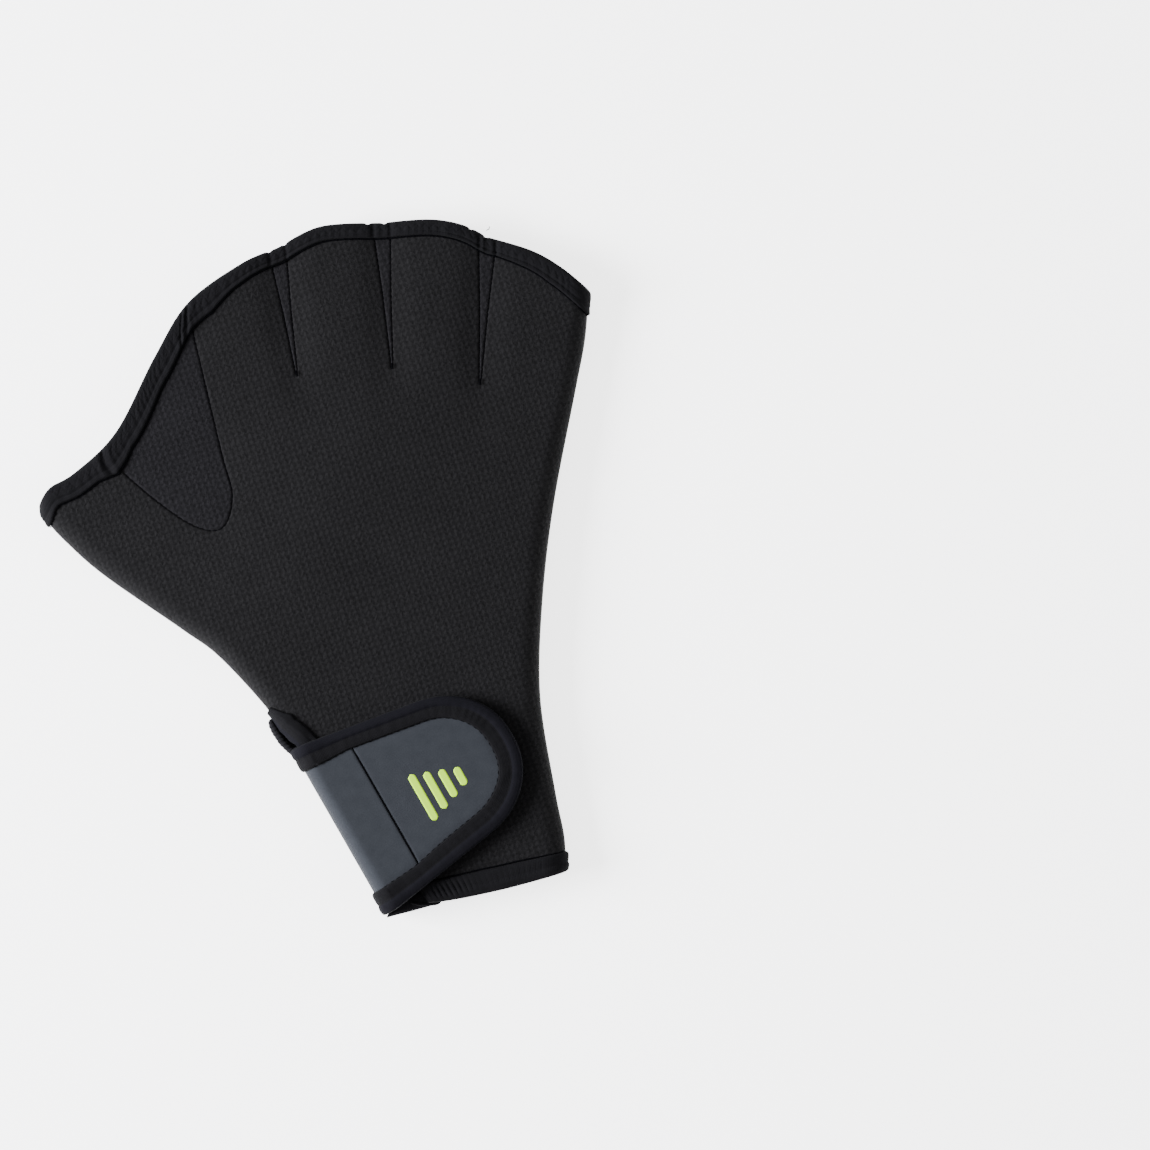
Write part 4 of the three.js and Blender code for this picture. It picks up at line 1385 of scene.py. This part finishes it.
def strap_cloth(name, node, places, seam_at, dip):
    """A length of the strap as a closed cloth whose face turns down at the seam of band and tab"""
    stretch, at = places
    half = strap_half(flat_a(stretch, at))
    across = np.linspace(-1, 1, ACROSS_STEPS + 1)
    across = np.sign(across) * (1 - (1 - np.abs(across)) ** 1.25)
    b = half[:, None] * across[None]
    grid = (stretch[:, None], at[:, None], b)
    outer = strap_point(*grid, 0)
    inner = strap_point(*grid, STRAP_THICKNESS)
    near = np.where(stretch == BACK, np.abs(at - seam_at), STRAP_REACH)
    edge = 1 - np.sqrt(np.clip(1 - (1 - np.minimum(near / SEAM_TURN, 1)) ** 2, 0, 1))
    outer[..., 2] -= (dip * edge)[:, None]
    rings = np.concatenate([outer, inner[:, ::-1]], axis=1)
    travel = path_lengths(outer[:, ACROSS_STEPS // 2])
    uv = np.stack(np.broadcast_arrays(travel[:, None], b), axis=-1)
    uv = np.concatenate([uv, uv[:, ::-1]], axis=1).reshape(-1, 2)
    return dress(tube(name, rings, False, uv), [grey_jersey], node)


def strap_rim():
    """The strap's rim: from the palm along one long edge, round the tab's nose and back"""
    stretch, at = band_places()
    turns = np.linspace(0, math.pi / 2, 64)
    nose = NOSE_START + NOSE_RUN * np.sin(turns[1:]) ** (2 / NOSE_POWER)
    nose_b = strap_straight(nose) * np.cos(turns[1:]).clip(0) ** (2 / NOSE_POWER)
    straight = np.arange(BAND_END + 0.8, NOSE_START + 0.1, 0.8)
    b = np.concatenate([strap_half(flat_a(stretch, at)), strap_half(straight), nose_b])
    stretch = np.concatenate([stretch, np.full(len(straight) + len(nose), BACK)])
    at = np.concatenate([at, straight, nose])
    return (np.concatenate([stretch, stretch[-2::-1]]), np.concatenate([at, at[-2::-1]]),
            np.concatenate([b, -b[-2::-1]]))


# Width of the strap's tape over the strap by its place a, and what its lower side has more
STRAP_LEG = [(0, 8.4), (8, 7.9), (17, 6.7), (48, 6.9), (63, 7.9)]
LOWER_LEG = [(0, 0), (10, 0), (30, 1.0), (50, 1.0), (63, 0)]
STRAP_WAVE = 0.06


def strap_tape():
    stretch, at, b = strap_rim()
    shares = leg_depths(STRAP_TAPE_FACE, 12)
    face = read_table(STRAP_TAPE_FACE, shares)
    over_back = flat_a(stretch, at)
    flat = np.column_stack([np.where(stretch == BACK, at, STRAP_FOLD), b])
    ahead = unit(np.gradient(flat, axis=0))
    side_on = np.column_stack([np.sign(b), np.zeros(len(b))])
    ahead = np.where((stretch == BACK)[:, None], ahead, side_on)
    leg = read_table(STRAP_LEG, over_back) + read_table(LOWER_LEG, over_back) * (b < 0) - TAPE_STACK
    outer, inner = [], []
    for share in shares:
        near_a = np.where(stretch == BACK, np.maximum(at + ahead[:, 1] * leg * share, STRAP_FOLD), at)
        near_b = b - ahead[:, 0] * leg * share
        outer.append(strap_point(stretch, near_a, near_b, 0))
        inner.append(strap_point(stretch, near_a, near_b, STRAP_THICKNESS))
    outer, inner = np.stack(outer), np.stack(inner)
    travel = path_lengths(outer[0])
    wave = STRAP_WAVE * np.sin(travel * 1.9 + 2 * np.sin(travel * 0.31))
    lift = even_lift(face, len(b))
    lift += wave[None] * np.sin(shares * math.pi)[:, None]
    turned = np.where(stretch == PALM, 0, np.where(stretch == FOLD, at, math.pi))
    lift = np.minimum(lift, TAPE * (1 + 2 * smooth(0.3, 1.2, turned))[None])
    over = SEAM_GAP + lift
    under = np.full(over.shape, float(TAPE_STACK))
    reach = np.full(len(b), float(TAPE_STACK))
    rim_rows = int((shares < RIM_SHARE).sum())
    piece = u_tape("strap_tape", outer, inner, over, under, reach, rim_rows=rim_rows)
    edge = outer[-1] + unit(outer[-1] - inner[-1]) * SEAM_GAP
    return dress(piece, [tape_jersey, tape_rim], "strap_binding"), edge


def hook_patch():
    end = STRAP_REACH - HOOK_SET_BACK
    a = np.linspace(end - HOOK_LENGTH, end, 25)
    b = np.linspace(-0.5, 0.5, 23) * HOOK_WIDTH
    a, b = np.meshgrid(a, b, indexing="ij")
    point = on_strap(a, b)
    low = crown(point) + SEAM_GAP
    outer = np.concatenate([point, (low + STRAP_UNDER - 2 * SEAM_GAP)[..., None]], axis=-1)
    inner = np.concatenate([point, low[..., None]], axis=-1)
    rings = np.concatenate([outer, inner[:, ::-1]], axis=1)
    return dress(tube("hook_pad", rings), [hook_plastic], "hook_patch")


# Turned-under end of the hem beside the strap: x, lower and upper y, in the frame of the plan
HEM_END = [(-21.0, 1.3, 1.9), (-20.0, 1.35, 2.8), (-17.5, 1.35, 3.9), (-14.0, 1.3, 5.4),
           (-8.0, 1.35, 6.8), (-4.0, 1.4, 6.6), (-2.0, 1.9, 5.6)]
HEM_END_LOW = 4.1
HEM_END_HIGH = 6.3


def hem_end():
    table = np.array(HEM_END)
    x = np.linspace(table[0, 0], table[-1, 0], 40)
    low, high = (np.interp(x, table[:, 0], table[:, k]) for k in (1, 2))
    turns = np.linspace(0, 2 * math.pi, 20, endpoint=False)
    rings = []
    z = (HEM_END_LOW + HEM_END_HIGH) / 2 + (HEM_END_HIGH - HEM_END_LOW) / 2 * np.sin(turns)
    for across, bottom, top in zip(x, low, high):
        y = (bottom + top) / 2 + (top - bottom) / 2 * np.cos(turns)
        rings.append(np.column_stack([np.full(len(turns), across), y, z]))
    # The hem's end has the lightened tape: painted light where it lies in the strap's shade
    return dress(tube("hem_end", np.array(rings)), [turned_tape_painted_light])


lip, lip_line = lip_tape()
hem, hem_line = hem_tape()
slit = slit_tape()
bead = edge_bead()
band = strap_cloth("band_cloth", "strap_band", band_places(), BAND_END, 0.3)
tab = strap_cloth("tab_cloth", "strap_tab", tab_places(), TAB_START, 0.4)
strap_edge, strap_line = strap_tape()
hook = hook_patch()
turned_hem = hem_end()


# Lip where the hem's end is turned under: a thin light tube that is a painted highlight on the hem's nose, in
# the frame of the plan: x, y, z
HEM_LIP_HIGHLIGHT = [(-12.6, 4.3, 6.5), (-10.5, 3.2, 6.9), (-8.0, 2.3, 7.1), (-4.6, 1.7, 7.0), (-3.0, 1.9, 6.6)]


# Sewing
THREAD_SIDES = 6


def threads(name, paths, radius, finish):
    """Short threads along paths of points, as one piece: tubes of a radius in mm with tapered ends"""
    sides = THREAD_SIDES
    angles = np.arange(sides) * 2 * math.pi / sides
    points, faces = [], []
    start = 0
    for path in paths:
        path = np.asarray(path, float)
        ahead = unit(np.gradient(path, axis=0))
        across = unit(np.cross(ahead, [0, 0, 1.0]) + 1e-6)
        above = np.cross(across, ahead)
        share = np.linspace(-1, 1, len(path))
        thick = radius * np.sqrt(np.clip(1 - share ** 6, 0.05, 1))
        ring = across[:, None] * np.cos(angles)[:, None] + above[:, None] * np.sin(angles)[:, None]
        points.append((path[:, None] + ring * thick[:, None, None]).reshape(-1, 3))
        faces += (grid_faces(len(path), sides, around=True) + start).tolist()
        end = start + len(path) * sides
        faces.append(list(range(start, start + sides)))
        faces.append(list(range(end - 1, end - sides - 1, -1)))
        start = end
    return dress(make_mesh(name, np.vstack(points), faces), [finish])


def part_of(line, first, last, count=5):
    lengths = path_lengths(line)
    wanted = np.linspace(first, last, count)
    return np.column_stack([np.interp(wanted, lengths, line[:, i]) for i in range(3)])


def stitches(line, pitch, length, bow=0.12, seed=1):
    """Stitches along a line of points in space, each a small arch"""
    chance = np.random.default_rng(seed)
    paths = []
    for first in np.arange(0.3, path_lengths(line)[-1] - pitch, pitch):
        size = length * chance.uniform(0.8, 1.1)
        path = part_of(line, first, first + size)
        path[:, 2] += bow * np.array([-1, 0.3, 0.6, 0.3, -1])
        paths.append(path)
    return paths


def on_back(points, rise=0.0):
    """Points of the plan raised to the back's outer surface"""
    points = np.asarray(points, float)
    raised, _ = panel_surface(points, True)
    raised[:, 2] += rise
    return raised


def tack(middle, turn, length, width, count, rise):
    """Paths of a bar tack: short threads side by side across a seam"""
    way = np.array([math.cos(math.radians(turn)), math.sin(math.radians(turn))])
    side = np.array([-way[1], way[0]])
    paths = []
    for off in np.linspace(-0.5, 0.5, count) * length:
        ends = np.linspace(-0.5, 0.5, 5)[:, None] * width * side[None]
        path = on_back(np.asarray(middle) + off * way + ends, rise)
        path[:, 2] += 0.1 * np.array([-1, 0.5, 1, 0.5, -1])
        paths.append(path)
    return paths


def lip_inner_outline():
    """Outline of the back inside the lip's tape"""
    u = np.linspace(0, 1, 300)
    leg = read_table(LIP_TAPE, u) - TAPE_STACK
    sides = [plan([1.0], [0.1]), plan([0.0], [0.1])]
    return np.vstack([plan(u, 1 - leg / lip_speed(u)), *sides])


# Rows of stitches: their pitch, the length of a stitch and how far it bows up
LIP_STITCH = {"pitch": 2.3, "length": 1.7}
HEM_STITCH = {"pitch": 2.3, "length": 1.8}
STRAP_STITCH = {"pitch": 2.4, "length": 1.7}
SEAM_STITCH = {"pitch": 2.0, "length": 1.75, "bow": 0.08}
# How far the dark cords of painted shadow along the tapes' edges sink below the stitches
SHADOW_CORD_SUNK = 0.15
THUMB_CORNER = place((-0.354, 0.742))

# Loose tail of thread, from the end of the lip's tape
TAIL = [[0, 0, -1.5], [0.5, 0.3, -1.0], [1.0, 0.3, -0.6], [1.3, 0.7, -0.5], [1.5, 1.3, -0.6]]


def edge_sewing():
    """Stitches along the ends of the tapes' legs"""
    paths = stitches(lip_line, **LIP_STITCH, seed=2) + stitches(hem_line, **HEM_STITCH, seed=3)
    threads("edge_stitches", paths, 0.2, thread)
    shown = strap_line[FOLD_STEPS:-FOLD_STEPS]
    threads("strap_stitches", stitches(shown, **STRAP_STITCH, seed=4), 0.16, thread)


def tack_sewing():
    """Bar tacks at the tips of the finger webs, at the thumb's corner and by the last web"""
    paths = []
    for axis in web_axes:
        turn = math.degrees(math.atan2(*axis.way[::-1]))
        paths += tack(axis.at(axis.length, 0.0), turn, length=1.6, width=1.0, count=5, rise=0.1)
    paths += tack(THUMB_CORNER, 120, length=2.6, width=1.8, count=9, rise=0.8)
    paths += tack(web_axes[2].at(4.6, 2.6), 40, length=1.4, width=1.3, count=5, rise=0.4)
    threads("tacks", paths, 0.2, thread)


def seam_sewing():
    """Stitches sunk in the seams of the webs, where the lip's tape leaves them bare"""
    seams = [web_seam()] + [side for axis in web_axes for side in wedge_sides(axis, SEAM_CLEAR)]
    field = lip_inner_outline()
    paths = []
    for seam in seams:
        line = spaced(seam, SEAM_STEP)
        line = on_back(line[in_outline(line, field)], -SEAM_DIP - 0.1)
        paths += stitches(line, **SEAM_STITCH, seed=6)
    threads("seam_stitches", paths, 0.17, thread)


def loose_sewing():
    """The tail where the lip's tape ends, dark cords under the stitches that are painted shadow along the
    tapes' inner edges, the strap's seam, and the hem's lip, a painted highlight
    """
    end = on_back(OVERLAP_PLACE[None] + [0.2, 0.6], 0)[0]
    threads("thread_tails", [end + np.array(TAIL)], 0.13, thread)
    # Dark cords along the ends of the lip's and hem's tapes: painted shadow where the tapes press into the
    # cloth
    sunk = [line - [0, 0, SHADOW_CORD_SUNK] for line in (lip_line, hem_line)]
    threads("edge_shadow_cords", sunk, 0.3, thread)
    across = np.linspace(-1, 1, 60) * (strap_half(STRAP_SEAM) - STRAP_TAPE_WIDTH)
    threads("strap_seam_thread", [strap_point(BACK, STRAP_SEAM, across, 0.12)], 0.25, thread)
    # The hem's lip: a light tube, painted highlight on the hem's nose
    threads("hem_lip_highlight", [spline(np.array(HEM_LIP_HIGHLIGHT), 40)], 0.45, turned_tape_painted_light)


edge_sewing()
tack_sewing()
seam_sewing()
loose_sewing()

# Printed bars on the tab: place along the tab and length
MARK_BARS = [(-8.0, 17), (-3.4, 13.5), (1.2, 10), (5.8, 6.5)]
MARK_PLACE = (37.5, -3.5)
MARK_WIDTH = 2.6
MARK_RISE = 0.1


def mark_bars():
    """Plain printed bars on the tab"""
    steps = np.linspace(-0.5, 0.5, 25)
    across = np.linspace(-1, 1, 7)
    for number, (off, length) in enumerate(MARK_BARS):
        past = np.maximum(np.abs(steps) * length - length / 2 + MARK_WIDTH / 2, 0)
        half = np.sqrt(np.clip((MARK_WIDTH / 2) ** 2 - past ** 2, 0.01, None))
        a = MARK_PLACE[0] + off + across[None] * half[:, None]
        b = MARK_PLACE[1] + (steps * length)[:, None] + a * 0
        outer = strap_point(BACK, a, b, 0) + [0, 0, MARK_RISE]
        inner = strap_point(BACK, a, b, 0) - [0, 0, MARK_RISE]
        outer[:, [0, -1], 2] -= MARK_RISE / 2
        rings = np.concatenate([outer, inner[:, ::-1]], axis=1)
        dress(tube(f"mark_bar_{number + 1}", rings), [lime_print])


mark_bars()


# Floor, light and camera
LAMPS = [
    # name, place, width, power, colour
    ("left_softbox", (-1.3, 0.3, 0.7), 0.8, 112, (0.95, 0.96, 1)),
    ("right_softbox", (1.2, -0.2, 1.1), 0.9, 4, (1, 1, 1)),
    ("top_softbox", (0.0, 0.6, 1.9), 1.2, 3, (1, 1, 1)),
]
SKY = 0.65
FLOOR_GLOW = 3
FLOOR_REACH = 6.0


def lay_floor():
    corners = [(-1, -1, 0), (1, -1, 0), (1, 1, 0), (-1, 1, 0)]
    mesh = bpy.data.meshes.new("floor")
    mesh.from_pydata([[FLOOR_REACH * part for part in corner] for corner in corners], [], [(0, 1, 2, 3)])
    finish = Finish("pale_floor", (0.93, 0.93, 0.93), 0.9, specular_ior_level=0.1,
                    emission_strength=FLOOR_GLOW, emission_color=(1, 1, 1, 1))
    mesh.materials.append(finish.paint())
    floor = bpy.data.objects.new("floor", mesh)
    bpy.context.scene.collection.objects.link(floor)


def light_sky():
    world = bpy.data.worlds.new("studio")
    world.use_nodes = True
    sky = world.node_tree.nodes["Background"]
    sky.inputs["Color"].default_value = (1, 1, 1, 1)
    sky.inputs["Strength"].default_value = SKY
    bpy.context.scene.world = world


def hang_lamps():
    for name, spot, width, power, colour in LAMPS:
        light = bpy.data.lights.new(name, "AREA")
        light.shape = "SQUARE"
        light.size = width
        light.energy = power
        light.color = colour
        lamp = bpy.data.objects.new(name, light)
        lamp.location = spot
        lamp.rotation_euler = (-Vector(spot)).to_track_quat("-Z", "Y").to_euler()
        bpy.context.scene.collection.objects.link(lamp)


def camera():
    lens = bpy.data.cameras.new("camera")
    lens.sensor_width = SENSOR
    lens.lens = SENSOR * CAMERA_HEIGHT / PICTURE_WIDTH
    lens.clip_end = 20
    eye = bpy.data.objects.new("camera", lens)
    eye.location = (PICTURE_MIDDLE[0] * MM, PICTURE_MIDDLE[1] * MM, CAMERA_HEIGHT * MM)
    eye.rotation_euler = (0, 0, PICTURE_TURN)
    bpy.context.scene.collection.objects.link(eye)
    bpy.context.scene.camera = eye


camera()
lay_floor()
light_sky()
hang_lamps()


# Cloth that was cut flat, and what its rolled sides take besides their plan
EDGE_SPARE = (EDGE_ROLL + SEAM_HEIGHT) / 2 * math.pi / 2 - EDGE_ROLL
FOLD_ARC = math.pi / 2 * (STRAP_FOLD + (GLOVE_HEIGHT + STRAP_UNDER + STRAP_THICKNESS) / 2)
CUT_STEP = 1.0


def cut_area(shapes, holes, sides):
    """Flat area of a panel's cut in square millimetres; sides is the length of its rolled sides"""
    low, high = shapes[0].min(axis=0), shapes[0].max(axis=0)
    x, y = np.meshgrid(np.arange(low[0], high[0], CUT_STEP), np.arange(low[1], high[1], CUT_STEP))
    points = np.column_stack([x.ravel(), y.ravel()])
    for shape in shapes:
        points = points[in_outline(points, shape)]
    for hole in holes:
        points = points[~in_outline(points, hole)]
    return len(points) * CUT_STEP ** 2 + sides * EDGE_SPARE


def strap_area(first, last):
    """Flat area of the strap between two of its places, in square millimetres"""
    a = np.linspace(first, last, 400)
    half = strap_half(a)
    return ((half[1:] + half[:-1]) * np.diff(a)).sum()


def declare(piece, width, length, area, held, rests_on, with_pieces=()):
    """Works out the size that a cloth had when flat, given in millimetres, in metres; nothing is kept or
    passed on
    """
    width * MM
    length * MM
    area * MM ** 2


def panel_sheets():
    web = web_outline(0)
    wedges = [wedge_outline(axis, 0) for axis in web_axes]
    width, length = GLOVE_WIDTH + 2 * EDGE_SPARE, GLOVE_LENGTH
    thumb_side, little_side = EDGE_LENGTH * (1 - SLIT_END), little_edge.total
    finger_webs = [piece for name, piece in panel_pieces.items() if name.startswith("finger_web")]
    back_area = cut_area([back_outline], [web, *wedges], thumb_side + little_side)
    declare(panel_pieces["back_panel"], width, length, back_area, "laid", ["palm_panel_cloth"],
            [lip, hem, slit, *finger_webs])
    palm_area = cut_area([palm_outline], [], EDGE_LENGTH + little_side)
    declare(panel_pieces["palm_panel"], width, length, palm_area, "laid", ["floor"], [bead, turned_hem])
    web_size = np.ptp(place(THUMB_WEB_SEAM), axis=0)
    web_area = cut_area([back_outline, web], [], 0)
    declare(panel_pieces["thumb_web"], *web_size, web_area, "stretched", ["back_panel_cloth"])


def strap_sheets():
    band_width = 2 * strap_half(0)
    band_length = STRAP_ROOT - STRAP_FOLD + FOLD_ARC + BAND_END - STRAP_FOLD
    band_area = (STRAP_ROOT - STRAP_FOLD + FOLD_ARC - STRAP_FOLD) * band_width + strap_area(0, BAND_END)
    declare(band, band_width, band_length, band_area, "folded", ["back_panel_cloth"], [strap_edge])
    tab_width = 2 * strap_half(TAB_START)
    tab_length = STRAP_REACH - TAPE_STACK - TAB_START
    tab_area = strap_area(TAB_START, TAB_START + tab_length)
    declare(tab, tab_width, tab_length, tab_area, "laid", ["hook_pad"], [hook])


panel_sheets()
strap_sheets()
